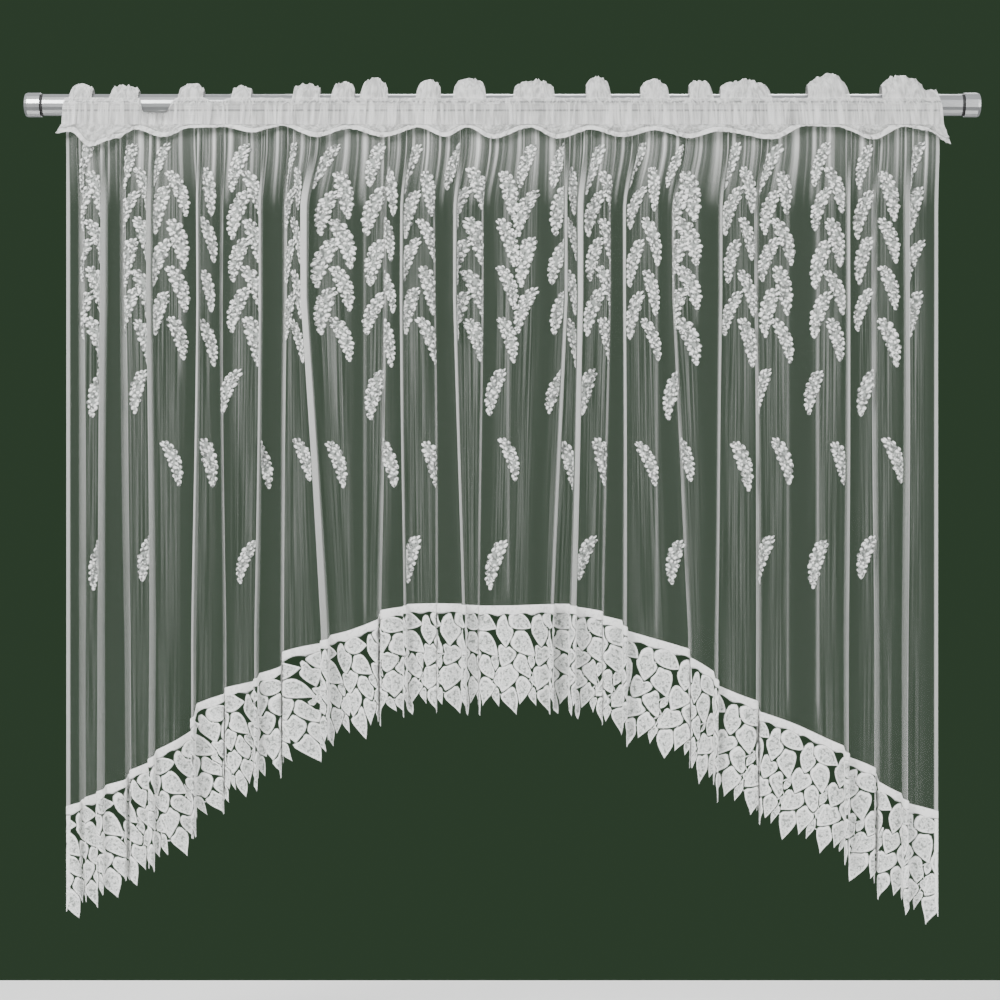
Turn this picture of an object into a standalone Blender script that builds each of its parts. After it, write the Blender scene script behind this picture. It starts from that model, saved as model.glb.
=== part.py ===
"""Arched sheer curtain on a steel rod.

Metres, +Z up, the front faces -Y. The origin is on the rod's axis, at the middle of its length.
The cloth is drawn flat first, in the coordinates s (along the width) and z (height), and is then hung:
each fold stands edge-on to the net, and the whole width is bunched into gathers under the heading.
"""

import math
from bisect import bisect_right
from typing import NamedTuple

import bpy
from mathutils.geometry import delaunay_2d_cdt

COLLECTION = "arched_sheer_curtain"
SHEET = 0.001  # thickness of every cloth piece
GAP = 0.0003  # clearance between pieces that touch
CDT_EPSILON = 0.00005

ROD_LENGTH = 1.651  # the tube alone, between the two rings
ROD_RADIUS = 0.0195
ROD_WALL = 0.0012
RING_WIDTH = 0.0045
RING_RADIUS = 0.0203
CAP_LENGTH = 0.0285
CAP_RADIUS = 0.022
CAP_ROUNDING = 0.006
CAP_TURNS = (0.0, math.pi / 4, math.pi / 2)  # angles of the points round a cap's edge
SPIGOT_LENGTH = 0.028
SPIGOT_RADIUS = ROD_RADIUS - ROD_WALL - GAP
TURNED_SIDES = 20

NET_LEFT, NET_RIGHT = -0.785, 0.784  # side edges of the hanging net
GATHER_LEFT, GATHER_RIGHT = -0.789, 0.789  # side edges where the net is sewn to the heading
NET_TOP = -0.030
GATHER_Y = 0.0065  # how far each gather stands out from the middle plane
GATHER_Y_AT_SEAM = 0.0015
GATHER_OPENS = -0.085  # height at which the gathers reach their full depth
GATHER_SPREAD = 0.3  # 1 spreads the gathers evenly, 0 keeps each fold's cloth right above it
FOLDS_BEGIN, FOLDS_FULL = -0.065, -0.190
DRIFT_BEGINS, DRIFT_FULL = -0.350, -0.950
WIDE_FLAT, FLAT_WAVE = 0.055, 0.007  # a flat wider than the first bows out in its middle by the second
CREST_SHARE = 0.8  # width of a fold's crest, as a share of its throat
NET_ROWS = (-0.055, -0.085, -0.125, -0.190, -0.350)


class Fold(NamedTuple):
    """One standing fold: its place high and low on the net, its front width and how far it stands out.

    A negative depth comes towards the front. The cloth hidden in a fold is twice its depth.
    """

    x_high: float
    x_low: float
    throat: float
    depth: float


FOLDS = (
    Fold(-0.758, -0.756, 0.012, 0.012),
    Fold(-0.716, -0.722, 0.012, -0.018),
    Fold(-0.684, -0.676, 0.010, 0.020),
    Fold(-0.634, -0.630, 0.010, -0.020),
    Fold(-0.546, -0.553, 0.005, -0.036),
    Fold(-0.507, -0.501, 0.004, 0.020),
    Fold(-0.433, -0.442, 0.005, -0.028),
    Fold(-0.393, -0.399, 0.006, 0.024),
    Fold(-0.356, -0.318, 0.014, -0.032),
    Fold(-0.212, -0.222, 0.006, 0.026),
    Fold(-0.181, -0.176, 0.005, -0.020),
    Fold(-0.123, -0.118, 0.004, 0.015),
    Fold(-0.086, -0.069, 0.006, -0.026),
    Fold(-0.037, -0.042, 0.004, 0.020),
    Fold(0.114, 0.087, 0.006, -0.026),
    Fold(0.140, 0.125, 0.011, -0.034),
    Fold(0.192, 0.181, 0.004, 0.015),
    Fold(0.219, 0.221, 0.006, -0.026),
    Fold(0.309, 0.338, 0.005, 0.020),
    Fold(0.392, 0.383, 0.005, -0.022),
    Fold(0.458, 0.463, 0.007, 0.026),
    Fold(0.622, 0.618, 0.006, -0.024),
    Fold(0.670, 0.674, 0.008, 0.020),
    Fold(0.726, 0.724, 0.010, -0.022),
)


class ArchPoint(NamedTuple):
    """Where the net's lower edge lies once it hangs."""

    x: float
    z: float


ARCH = (
    ArchPoint(-0.783, -1.262),
    ArchPoint(-0.705, -1.222),
    ArchPoint(-0.607, -1.154),
    ArchPoint(-0.517, -1.066),
    ArchPoint(-0.422, -1.019),
    ArchPoint(-0.363, -0.976),
    ArchPoint(-0.271, -0.945),
    ArchPoint(-0.203, -0.907),
    ArchPoint(-0.130, -0.898),
    ArchPoint(-0.033, -0.902),
    ArchPoint(0.120, -0.899),
    ArchPoint(0.175, -0.911),
    ArchPoint(0.266, -0.959),
    ArchPoint(0.361, -1.008),
    ArchPoint(0.433, -1.064),
    ArchPoint(0.519, -1.112),
    ArchPoint(0.597, -1.147),
    ArchPoint(0.649, -1.184),
    ArchPoint(0.712, -1.237),
    ArchPoint(0.782, -1.271),
)

SPIKE_LENGTH, SPIKE_WIDTH, SPIKE_LEAN, SPIKE_RISE = 0.081, 0.024, 0.018, 0.0016
# Shares of the width and length, from the top round to the tip and back
SPIKE_OUTLINE = ((0.0, 0.0), (0.5, -0.22), (0.42, -0.62), (0.0, -1.0), (-0.5, -0.34))
SPIKE_CREST = -0.36


class SpikeRow(NamedTuple):
    """One level of woven leaf spikes: the height of their tops, the way they lean, and their places."""

    top: float
    lean: int
    places: tuple[float, ...]


LEFT_LEANING = (
    -0.752, -0.668, -0.612, -0.469, -0.382, -0.314, -0.223, -0.162, -0.077, 0.048,
    0.109, 0.169, 0.243, 0.319, 0.416, 0.485, 0.578, 0.655, 0.745,
)
RIGHT_LEANING = (
    -0.735, -0.650, -0.590, -0.534, -0.453, -0.374, -0.295, -0.210, -0.139, -0.055,
    0.005, 0.122, 0.183, 0.264, 0.330, 0.435, 0.500, 0.595, 0.690,
)
SPIKE_ROWS = (
    SpikeRow(-0.151, -1, LEFT_LEANING),
    SpikeRow(-0.204, 1, RIGHT_LEANING),
    SpikeRow(-0.241, -1, LEFT_LEANING),
    SpikeRow(-0.294, 1, RIGHT_LEANING),
    SpikeRow(-0.333, -1, LEFT_LEANING),
    SpikeRow(-0.384, 1, RIGHT_LEANING),
    SpikeRow(
        -0.477,
        -1,
        (-0.725, -0.655, -0.489, -0.227, -0.012, 0.100, 0.152, 0.309, 0.467, 0.562, 0.659, 0.775),
    ),
    SpikeRow(
        -0.603,
        1,
        (
            -0.770, -0.595, -0.530, -0.436, -0.360, -0.298, -0.209, -0.129, 0.011, 0.117,
            0.178, 0.260, 0.327, 0.430, 0.504, 0.607, 0.703,
        ),
    ),
    SpikeRow(-0.780, -1, (-0.722, -0.640, -0.458, -0.163, -0.010, 0.150, 0.312, 0.470, 0.570, 0.655, 0.775)),
)

LACE_SEAM = 0.0008  # clearance in height between the net's lower edge and the lace
LACE_DEPTH = 0.189
LACE_PITCH = 0.067
LACE_TURN = 0.060  # length of arch over which the border's direction is averaged
LACE_MARGIN = 0.004  # plain cloth kept between a gap and the side edge
# The lower edge of one repeat and the gaps between its leaves: (along, down) as shares of the pitch and depth
LACE_HEM = ((0.0, 0.83), (0.22, 0.93), (0.38, 1.0), (0.52, 0.86), (0.80, 0.94))
LACE_GAPS = (
    ((0.24, 0.090), (0.56, 0.075), (0.52, 0.175), (0.38, 0.150)),
    ((0.20, 0.385), (0.54, 0.410), (0.44, 0.450)),
    ((0.70, 0.420), (0.84, 0.470), (0.72, 0.520)),
    ((0.30, 0.640), (0.46, 0.610), (0.42, 0.690)),
)

SEAM_Z = -0.035
SEAM_Y = 0.0034  # how far before and behind the net's top edge the heading's two bands meet it
WRAP_RADIUS = ROD_RADIUS + 0.0022
HEADING_STEP = 0.020
RIPPLE = 0.0035  # how far the heading's small gathers stand out
RIPPLE_TURN = 0.93 * math.pi  # from one station to the next, so that the gathers come unevenly
RIPPLE_ON_ROD, RIPPLE_AT_HEM = 0.33, 2.0  # the gathers' depth there, as a share of that at the seam
FLOUNCE_SLANT = 0.22  # how far the flounce stands out for each metre that it drops
LOOP_FULLNESS = 0.7  # under 1 makes a loop's outline rounder than a cosine
LOOP_DEPTH = 0.9  # a loop's depth as a share of its height


class WrapRow(NamedTuple):
    """A row of the heading round the rod: degrees forward of the top, and its share of a loop's rise."""

    degrees: float
    loop: float


WRAP_ROWS = (
    WrapRow(100, 0.0),
    WrapRow(60, 0.0),
    WrapRow(30, 0.75),
    WrapRow(0, 1.0),
    WrapRow(-30, 0.75),
    WrapRow(-60, 0.0),
    WrapRow(-100, 0.0),
)
ROWS_BEFORE_WRAP = 2  # the flounce's hem and the front seam


class Puff(NamedTuple):
    """A loop of the heading that stands up over the rod."""

    x: float
    half_width: float
    rise: float


PUFFS = (
    Puff(-0.762, 0.022, 0.013),
    Puff(-0.684, 0.027, 0.013),
    Puff(-0.563, 0.024, 0.014),
    Puff(-0.471, 0.020, 0.010),
    Puff(-0.354, 0.027, 0.016),
    Puff(-0.288, 0.022, 0.019),
    Puff(-0.231, 0.026, 0.025),
    Puff(-0.132, 0.024, 0.021),
    Puff(-0.059, 0.032, 0.025),
    Puff(0.058, 0.040, 0.022),
    Puff(0.173, 0.024, 0.028),
    Puff(0.276, 0.028, 0.022),
    Puff(0.359, 0.023, 0.023),
    Puff(0.440, 0.048, 0.022),
    Puff(0.590, 0.040, 0.033),
    Puff(0.726, 0.042, 0.031),
    Puff(0.782, 0.014, 0.002),
)


class HemPoint(NamedTuple):
    """A place on the flounce's wavy lower edge."""

    x: float
    z: float


FLOUNCE_HEM = (
    HemPoint(-0.802, -0.053),
    HemPoint(-0.776, -0.050),
    HemPoint(-0.741, -0.077),
    HemPoint(-0.690, -0.062),
    HemPoint(-0.660, -0.046),
    HemPoint(-0.610, -0.060),
    HemPoint(-0.560, -0.044),
    HemPoint(-0.500, -0.042),
    HemPoint(-0.450, -0.052),
    HemPoint(-0.397, -0.040),
    HemPoint(-0.334, -0.060),
    HemPoint(-0.276, -0.045),
    HemPoint(-0.214, -0.060),
    HemPoint(-0.150, -0.043),
    HemPoint(-0.103, -0.060),
    HemPoint(-0.064, -0.043),
    HemPoint(-0.017, -0.063),
    HemPoint(0.049, -0.043),
    HemPoint(0.100, -0.063),
    HemPoint(0.158, -0.047),
    HemPoint(0.215, -0.060),
    HemPoint(0.275, -0.048),
    HemPoint(0.335, -0.062),
    HemPoint(0.390, -0.050),
    HemPoint(0.485, -0.064),
    HemPoint(0.545, -0.040),
    HemPoint(0.600, -0.042),
    HemPoint(0.665, -0.064),
    HemPoint(0.722, -0.041),
    HemPoint(0.758, -0.048),
    HemPoint(0.805, -0.072),
)


def blend(a, b, share):
    return a + (b - a) * share


def eased(value, start, end):
    """0 at start and 1 at end, with soft ends."""
    share = min(1.0, max(0.0, (value - start) / (end - start)))
    return share * share * (3 - 2 * share)


def smooth_through(table, at):
    """The height at this place on a curve that is level at each of the table's high and low points."""
    k = min(max(bisect_right([row[0] for row in table], at) - 1, 0), len(table) - 2)
    (x0, z0), (x1, z1) = table[k][:2], table[k + 1][:2]
    return blend(z0, z1, eased(at, x0, x1))


def cubic_through(table, at):
    """The height on a smooth curve through the table's points, which runs straight on past its ends."""
    places = [row[0] for row in table]

    def slope(k):
        low, high = max(k - 1, 0), min(k + 1, len(table) - 1)
        return (table[high][1] - table[low][1]) / (places[high] - places[low])

    if at <= places[0]:
        return table[0][1] + slope(0) * (at - places[0])
    if at >= places[-1]:
        return table[-1][1] + slope(len(table) - 1) * (at - places[-1])
    k = bisect_right(places, at) - 1
    span = places[k + 1] - places[k]
    u = (at - places[k]) / span
    return (
        (2 * u**3 - 3 * u**2 + 1) * table[k][1]
        + (u**3 - 2 * u**2 + u) * span * slope(k)
        + (3 * u**2 - 2 * u**3) * table[k + 1][1]
        + (u**3 - u**2) * span * slope(k + 1)
    )


class Column(NamedTuple):
    """A vertical line on the flat cloth, along which it bends when it hangs."""

    s: float
    gather_side: float  # -1 to the front, 1 to the back, where the cloth is gathered
    fold: int  # the fold that the line belongs to, or the one before the flat that it lies on
    offset: float  # across the fold, in its own half widths
    stands: float  # 1 on the fold's crest, 0 where it meets the flat
    share: float  # how far across the flat after the fold the line lies, or 0 on a fold
    wave: float  # how far the flat bows out there


def fold_x(fold, z):
    drift = min(1.0, max(0.0, (z - DRIFT_BEGINS) / (DRIFT_FULL - DRIFT_BEGINS)))
    return blend(fold.x_high, fold.x_low, drift)


def fold_edges(k, z):
    """The left and right edges of a fold's throat, or the net's own side edges past the last fold."""
    if k < 0:
        return NET_LEFT, NET_LEFT
    if k >= len(FOLDS):
        return NET_RIGHT, NET_RIGHT
    x = fold_x(FOLDS[k], z)
    return x - FOLDS[k].throat / 2, x + FOLDS[k].throat / 2


def cloth_columns():
    """Every bending line of the cloth, from the left side edge to the right one."""
    columns = [Column(0.0, 1.0, -1, 0.0, 0.0, 0.0, 0.0)]
    s = 0.0
    for k in range(-1, len(FOLDS)):
        flat = sum(fold_edges(k + 1, z)[0] - fold_edges(k, z)[1] for z in (DRIFT_BEGINS, DRIFT_FULL)) / 2
        before = columns[-1].gather_side
        after = math.copysign(1.0, -FOLDS[k + 1].depth) if k + 1 < len(FOLDS) else -before
        if flat > WIDE_FLAT:
            side = -before if before == after else 0.0
            columns.append(Column(s + flat / 2, side, k, 0.0, 0.0, 0.5, FLAT_WAVE * (-1) ** k))
        s += flat
        if k + 1 == len(FOLDS):
            columns.append(Column(s, after, k, 0.0, 0.0, 1.0, 0.0))
            break
        fold = FOLDS[k + 1]
        reach = abs(fold.depth)
        columns.append(Column(s, after, k + 1, -1.0, 0.0, 0.0, 0.0))
        columns.append(Column(s + reach, -after, k + 1, -CREST_SHARE, 1.0, 0.0, 0.0))
        columns.append(Column(s + reach + fold.throat, -after, k + 1, CREST_SHARE, 1.0, 0.0, 0.0))
        s += 2 * reach + fold.throat
        columns.append(Column(s, after, k + 1, 1.0, 0.0, 0.0, 0.0))
    return columns


COLUMNS = cloth_columns()
COLUMN_PLACES = [column.s for column in COLUMNS]
CLOTH_WIDTH = COLUMN_PLACES[-1]


def hung_column(column, z):
    """Where this bending line crosses this height, as (x, y)."""
    if column.share or column.fold < 0:
        left, right = fold_edges(column.fold, z)[1], fold_edges(column.fold + 1, z)[0]
        folded = blend(left, right, column.share), column.wave
    else:
        fold = FOLDS[column.fold]
        folded = fold_x(fold, z) + column.offset * fold.throat / 2, column.stands * fold.depth
    depth = blend(GATHER_Y_AT_SEAM, GATHER_Y, eased(z, NET_TOP, GATHER_OPENS))
    even = blend(GATHER_LEFT, GATHER_RIGHT, column.s / CLOTH_WIDTH)
    gathered = blend(folded[0], even, GATHER_SPREAD), depth * column.gather_side
    share = eased(z, FOLDS_BEGIN, FOLDS_FULL)
    return blend(gathered[0], folded[0], share), blend(gathered[1], folded[1], share)


def hung(s, z):
    """Where this point of the flat cloth hangs."""
    k = min(max(bisect_right(COLUMN_PLACES, s) - 1, 0), len(COLUMNS) - 2)
    share = (s - COLUMN_PLACES[k]) / (COLUMN_PLACES[k + 1] - COLUMN_PLACES[k])
    (x0, y0), (x1, y1) = hung_column(COLUMNS[k], z), hung_column(COLUMNS[k + 1], z)
    return blend(x0, x1, share), blend(y0, y1, share), z


def flat_place(x, z):
    """The place on the flat cloth that hangs at this x, leaving out what is hidden in the folds."""
    flats = [
        (k, k + 1)
        for k in range(len(COLUMNS) - 1)
        if not COLUMNS[k].stands and not COLUMNS[k + 1].stands
    ]
    ends = [(hung_column(COLUMNS[a], z)[0], hung_column(COLUMNS[b], z)[0], a, b) for a, b in flats]
    left, right, a, b = min(ends, key=lambda row: max(row[0] - x, x - row[1]))
    share = min(1.0, max(0.0, (x - left) / (right - left)))
    return blend(COLUMN_PLACES[a], COLUMN_PLACES[b], share)


ARCH_LINE = [(flat_place(point.x, point.z), point.z) for point in ARCH]


def arch_height(s):
    return cubic_through(ARCH_LINE, s)


class Drawing:
    """A flat drawing of a cloth piece: its points and the lines that its triangles may not cross."""

    def __init__(self):
        self.points = []
        self.lines = []

    def line(self, points, closed=False):
        first = len(self.points)
        self.points += points
        last = len(self.points)
        self.lines += [(k, k + 1) for k in range(first, last - 1)]
        if closed:
            self.lines.append((last - 1, first))

    def triangles(self, keep):
        """The flat points and the triangles whose middles pass keep, with the input points behind each."""
        points, _, faces, sources, _, _ = delaunay_2d_cdt(self.points, self.lines, [], 0, CDT_EPSILON)
        kept = [
            face
            for face in faces
            if keep(sum(points[i].x for i in face) / 3, sum(points[i].y for i in face) / 3)
        ]
        return points, kept, sources


def inside(outline, s, z):
    """True if the point lies within the closed outline."""
    crossings = 0
    for (s0, z0), (s1, z1) in zip(outline, outline[1:] + outline[:1]):
        if (z0 > z) != (z1 > z) and s < s0 + (z - z0) * (s1 - s0) / (z1 - z0):
            crossings += 1
    return crossings % 2 == 1


def material(name, colour, roughness, metallic=0.0):
    made = bpy.data.materials.new(name)
    made.use_nodes = True
    shader = made.node_tree.nodes["Principled BSDF"]
    shader.inputs["Base Color"].default_value = (*colour, 1.0)
    shader.inputs["Roughness"].default_value = roughness
    shader.inputs["Metallic"].default_value = metallic
    return made


def placed(name, mesh, finish, collection):
    mesh.materials.append(finish)
    piece = bpy.data.objects.new(name, mesh)
    collection.objects.link(piece)
    return piece


def cloth(name, points, faces, finish, collection):
    """A sheet of cloth on this surface, with its thickness half to each side."""
    used = sorted({i for face in faces for i in face})
    index = {old: new for new, old in enumerate(used)}
    mesh = bpy.data.meshes.new(name)
    mesh.from_pydata([points[i] for i in used], [], [[index[i] for i in face] for face in faces])
    mesh.validate()
    piece = placed(name, mesh, finish, collection)
    thick = piece.modifiers.new("thickness", "SOLIDIFY")
    thick.thickness = SHEET
    thick.offset = 0.0
    thick.use_even_offset = True
    return piece


def spike_outlines():
    """The outline and the crest of each woven leaf spike, on the flat cloth."""
    spikes = []
    for row in SPIKE_ROWS:
        for x in row.places:
            middle = flat_place(x, row.top - SPIKE_LENGTH / 2)
            lean = row.lean * SPIKE_LEAN

            def at(across, down):
                curve = lean * (-down - 0.5)
                return middle + curve + row.lean * across * SPIKE_WIDTH, row.top + down * SPIKE_LENGTH

            outline = [at(*share) for share in SPIKE_OUTLINE]
            places = [s for s, _ in outline]
            if min(places) > LACE_MARGIN and max(places) < CLOTH_WIDTH - LACE_MARGIN:
                spikes.append((outline, at(0.0, SPIKE_CREST)))
    return spikes


def net_panel(collection):
    """The sheer net, gathered at the top, folded below and cut to the arch, with its woven spikes raised."""
    drawing = Drawing()
    for s in COLUMN_PLACES:
        drawing.line([(s, z) for z in (NET_TOP, *NET_ROWS, arch_height(s))])
    drawing.line([(s, NET_TOP) for s in COLUMN_PLACES])
    bottom = [(s, arch_height(s)) for s in COLUMN_PLACES]
    drawing.line(bottom)
    crests = set()
    for outline, crest in spike_outlines():
        drawing.line(outline, closed=True)
        crests.add(len(drawing.points))
        drawing.points.append(crest)
    outline = bottom + [(CLOTH_WIDTH, NET_TOP), (0.0, NET_TOP)]
    flat, faces, sources = drawing.triangles(lambda s, z: inside(outline, s, z))
    points = []
    for point, source in zip(flat, sources):
        x, y, z = hung(point.x, point.y)
        points.append((x, y - SPIKE_RISE if crests & set(source) else y, z))
    finish = material("sheer_net", (0.86, 0.86, 0.85), 0.8)
    return cloth("net_panel", points, faces, finish, collection)


class Border:
    """The lace border's own coordinates: a along the arch and b down from it, both in metres."""

    STEP = 0.010
    RUN_ON = 0.25  # how far the arch line is carried past the side edges

    def __init__(self):
        count = int((CLOTH_WIDTH + 2 * self.RUN_ON) / self.STEP)
        self.line = [
            (s, arch_height(s)) for s in (-self.RUN_ON + k * self.STEP for k in range(count + 1))
        ]
        self.lengths = [0.0]
        for (s0, z0), (s1, z1) in zip(self.line, self.line[1:]):
            self.lengths.append(self.lengths[-1] + math.hypot(s1 - s0, z1 - z0))

    def on_line(self, a):
        k = min(max(bisect_right(self.lengths, a) - 1, 0), len(self.line) - 2)
        share = (a - self.lengths[k]) / (self.lengths[k + 1] - self.lengths[k])
        (s0, z0), (s1, z1) = self.line[k], self.line[k + 1]
        return blend(s0, s1, share), blend(z0, z1, share)

    def at(self, a, b):
        """The flat point that lies this far along the arch and this far down from it."""
        s, z = self.on_line(a)
        (s0, z0), (s1, z1) = self.on_line(a - LACE_TURN), self.on_line(a + LACE_TURN)
        reach = math.hypot(s1 - s0, z1 - z0)
        return s + b * (z1 - z0) / reach, z - b * (s1 - s0) / reach


def lace_border(collection):
    """The leaf lace sewn along the arch, with the gaps between its leaves cut through."""
    border = Border()
    repeats = int(border.lengths[-1] / LACE_PITCH)

    def place(k, point):
        return border.at((k + point[0]) * LACE_PITCH, point[1] * LACE_DEPTH)

    top_places = (-Border.RUN_ON, *COLUMN_PLACES, CLOTH_WIDTH + Border.RUN_ON)
    top = [(s, arch_height(s) - LACE_SEAM) for s in top_places]
    hem = [place(k, point) for k in range(repeats) for point in LACE_HEM]
    outline = top + hem[::-1]
    holes = []
    for k in range(repeats):
        for gap in LACE_GAPS:
            hole = [place(k, point) for point in gap]
            reach = [s for s, _ in hole]
            if min(reach) > LACE_MARGIN and max(reach) < CLOTH_WIDTH - LACE_MARGIN:
                holes.append(hole)
    drawing = Drawing()
    drawing.line(outline, closed=True)
    for hole in holes:
        drawing.line(hole, closed=True)
    for s in COLUMN_PLACES:
        drawing.line([(s, arch_height(s) - LACE_SEAM), (s, arch_height(s) - 1.5 * LACE_DEPTH)])

    def keep(s, z):
        near = [hole for hole in holes if abs(hole[0][0] - s) < LACE_PITCH]
        return 0 < s < CLOTH_WIDTH and inside(outline, s, z) and not any(inside(hole, s, z) for hole in near)

    flat, faces, _ = drawing.triangles(keep)
    points = [hung(point.x, point.y) for point in flat]
    finish = material("leaf_lace", (0.84, 0.84, 0.82), 0.75)
    return cloth("lace_border", points, faces, finish, collection)


def puff_rise(x):
    """How far the heading stands above the rod here, or None in a slot between two loops."""
    for puff in PUFFS:
        share = abs(x - puff.x) / puff.half_width
        if share <= 1.0:
            return puff.rise * math.cos(share * math.pi / 2) ** LOOP_FULLNESS
    return None


def heading_rows(x, share, ripple):
    """The heading's points at one station, from the flounce's hem over the rod to the back seam."""
    hem_x = blend(FLOUNCE_HEM[0].x, FLOUNCE_HEM[-1].x, share)
    hem_z = smooth_through(FLOUNCE_HEM, hem_x)
    hem_y = -SEAM_Y - RIPPLE_AT_HEM * ripple - FLOUNCE_SLANT * (SEAM_Z - hem_z)
    rows = [(hem_x, hem_y, hem_z), (x, -SEAM_Y - ripple, SEAM_Z)]
    for row in WRAP_ROWS:
        angle = math.radians(row.degrees)
        if row.loop:
            stand = WRAP_RADIUS + row.loop * (puff_rise(x) or 0.0)
            rows.append((x, -stand * math.sin(angle) * LOOP_DEPTH, stand * math.cos(angle)))
        else:
            stand = WRAP_RADIUS + RIPPLE_ON_ROD * ripple
            rows.append((x, -stand * math.sin(angle), stand * math.cos(angle)))
    rows.append((x, SEAM_Y + ripple, SEAM_Z))
    return rows


def heading(collection):
    """The heading: a band before the rod with a wavy flounce, a band behind it, and loops over it."""
    count = round((GATHER_RIGHT - GATHER_LEFT) / HEADING_STEP)
    stations = [blend(GATHER_LEFT, GATHER_RIGHT, k / count) for k in range(count + 1)]
    points = []
    for k, x in enumerate(stations):
        points += heading_rows(x, k / count, RIPPLE * (1 + math.sin(k * RIPPLE_TURN)) / 2)
    across = len(points) // len(stations)
    loop_rows = [
        ROWS_BEFORE_WRAP + k
        for k in range(len(WRAP_ROWS) - 1)
        if WRAP_ROWS[k].loop or WRAP_ROWS[k + 1].loop
    ]
    faces = []
    for k in range(count):
        over = puff_rise(stations[k]) is not None and puff_rise(stations[k + 1]) is not None
        for row in range(across - 1):
            if row in loop_rows and not over:
                continue
            here, beside = k * across + row, (k + 1) * across + row
            faces.append((here, beside, beside + 1, here + 1))
    finish = material("heading_voile", (0.88, 0.87, 0.86), 0.7)
    return cloth("heading", points, faces, finish, collection)


def turned(name, profile, finish, collection):
    """A piece turned about the X axis from a profile of (x, radius), whose outer side runs towards +X."""
    mesh = bpy.data.meshes.new(name)
    points = [(x, 0.0, radius) for x, radius in reversed(profile)]
    edges = [(k, k + 1) for k in range(len(points) - 1)]
    if profile[0][1] > 0:
        edges.append((len(points) - 1, 0))
    mesh.from_pydata(points, edges, [])
    piece = placed(name, mesh, finish, collection)
    screw = piece.modifiers.new("turned", "SCREW")
    screw.axis = "X"
    screw.steps = screw.render_steps = TURNED_SIDES
    screw.use_merge_vertices = True
    screw.merge_threshold = 0.0001
    return piece


def rod_parts(collection):
    """The steel tube, and at each end a dark ring and a chrome cap whose spigot sits in the tube."""
    chrome = material("chrome", (0.62, 0.63, 0.64), 0.22, 1.0)
    rubber = material("ring_rubber", (0.03, 0.03, 0.03), 0.6)
    half, bore = ROD_LENGTH / 2, ROD_RADIUS - ROD_WALL
    turned("rod", [(-half, bore), (-half, ROD_RADIUS), (half, ROD_RADIUS), (half, bore)], chrome, collection)
    start = half + GAP
    end = start + RING_WIDTH
    inner = SPIGOT_RADIUS + GAP
    crown = (start + end) / 2
    ring = [(start, inner), (start, ROD_RADIUS), (crown, RING_RADIUS), (end, ROD_RADIUS), (end, inner)]
    face = end + GAP
    tip = face + CAP_LENGTH
    edge = [
        (tip - CAP_ROUNDING * (1 - math.sin(turn)), CAP_RADIUS - CAP_ROUNDING * (1 - math.cos(turn)))
        for turn in CAP_TURNS
    ]
    spigot = [(half - SPIGOT_LENGTH, 0.0), (half - SPIGOT_LENGTH, SPIGOT_RADIUS), (face, SPIGOT_RADIUS)]
    cap = [*spigot, (face, CAP_RADIUS), *edge, (tip, 0.0)]
    for word, turn in (("right", 0.0), ("left", math.pi)):
        turned(f"ring_{word}", ring, rubber, collection).rotation_euler.z = turn
        turned(f"cap_{word}", cap, chrome, collection).rotation_euler.z = turn


def main():
    for old in list(bpy.data.objects):
        bpy.data.objects.remove(old)
    collection = bpy.data.collections.new(COLLECTION)
    bpy.context.scene.collection.children.link(collection)
    rod_parts(collection)
    heading(collection)
    net_panel(collection)
    lace_border(collection)


main()
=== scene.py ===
"""Looks of the arched sheer curtain and its steel rod.

Metres, in the part's own frame: +X along the rod to the right, +Z up, the front faces -Y, and the origin
is on the rod's axis at the middle of its length. Every cloth is drawn flat, in s along the width and z in
height, and is then hung: the class HungCloth gives the place in the room of each flat point.
"""

import logging
import math
from bisect import bisect_right
from collections.abc import Iterable, Sequence
from dataclasses import dataclass, field
from enum import Enum
from typing import NamedTuple

import bpy
import numpy as np
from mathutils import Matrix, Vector

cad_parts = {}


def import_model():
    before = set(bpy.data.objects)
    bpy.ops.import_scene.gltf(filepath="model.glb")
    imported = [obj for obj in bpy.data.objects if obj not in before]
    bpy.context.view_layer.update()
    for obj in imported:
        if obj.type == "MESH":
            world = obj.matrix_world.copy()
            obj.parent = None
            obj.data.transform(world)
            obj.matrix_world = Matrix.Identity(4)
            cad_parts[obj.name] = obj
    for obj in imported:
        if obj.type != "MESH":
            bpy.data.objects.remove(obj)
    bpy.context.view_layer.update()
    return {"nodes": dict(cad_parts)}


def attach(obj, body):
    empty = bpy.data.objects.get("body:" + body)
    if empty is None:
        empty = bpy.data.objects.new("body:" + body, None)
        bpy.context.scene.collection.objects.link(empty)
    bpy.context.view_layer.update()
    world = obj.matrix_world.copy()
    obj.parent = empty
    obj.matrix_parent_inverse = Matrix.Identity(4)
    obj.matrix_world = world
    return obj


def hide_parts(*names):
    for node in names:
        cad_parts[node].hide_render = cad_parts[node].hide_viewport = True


log = logging.getLogger("curtain")

UV_NAME = "OFBake"
LEAST_LENGTH = 1e-9  # keeps a division by a length of nothing away
Colour = tuple[float, float, float]
Point = tuple[float, float, float]
Range = tuple[float, float]


class Lean(Enum):
    """Which way the tip of a woven spike points."""

    TIP_LEFT = -1
    TIP_RIGHT = 1


class LeafForm(Enum):
    """The two outlines of lace leaves, as the powers that shape their half width along the leaf."""

    ROUND = (0.72, 0.84)
    POINTED = (0.62, 1.12)


class Fold(NamedTuple):
    """One standing fold: its place high and low, front width, depth (to the front below 0) and cover."""

    x_high: float
    x_low: float
    throat: float
    depth: float
    cover: float


class ArchPoint(NamedTuple):
    """Where the net's lower edge lies once it hangs."""

    x: float
    z: float


class SpikeRow(NamedTuple):
    """One level of woven spikes: the height of their tops, the way they lean, and their places."""

    top: float
    lean: Lean
    places: tuple[float, ...]


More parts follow.
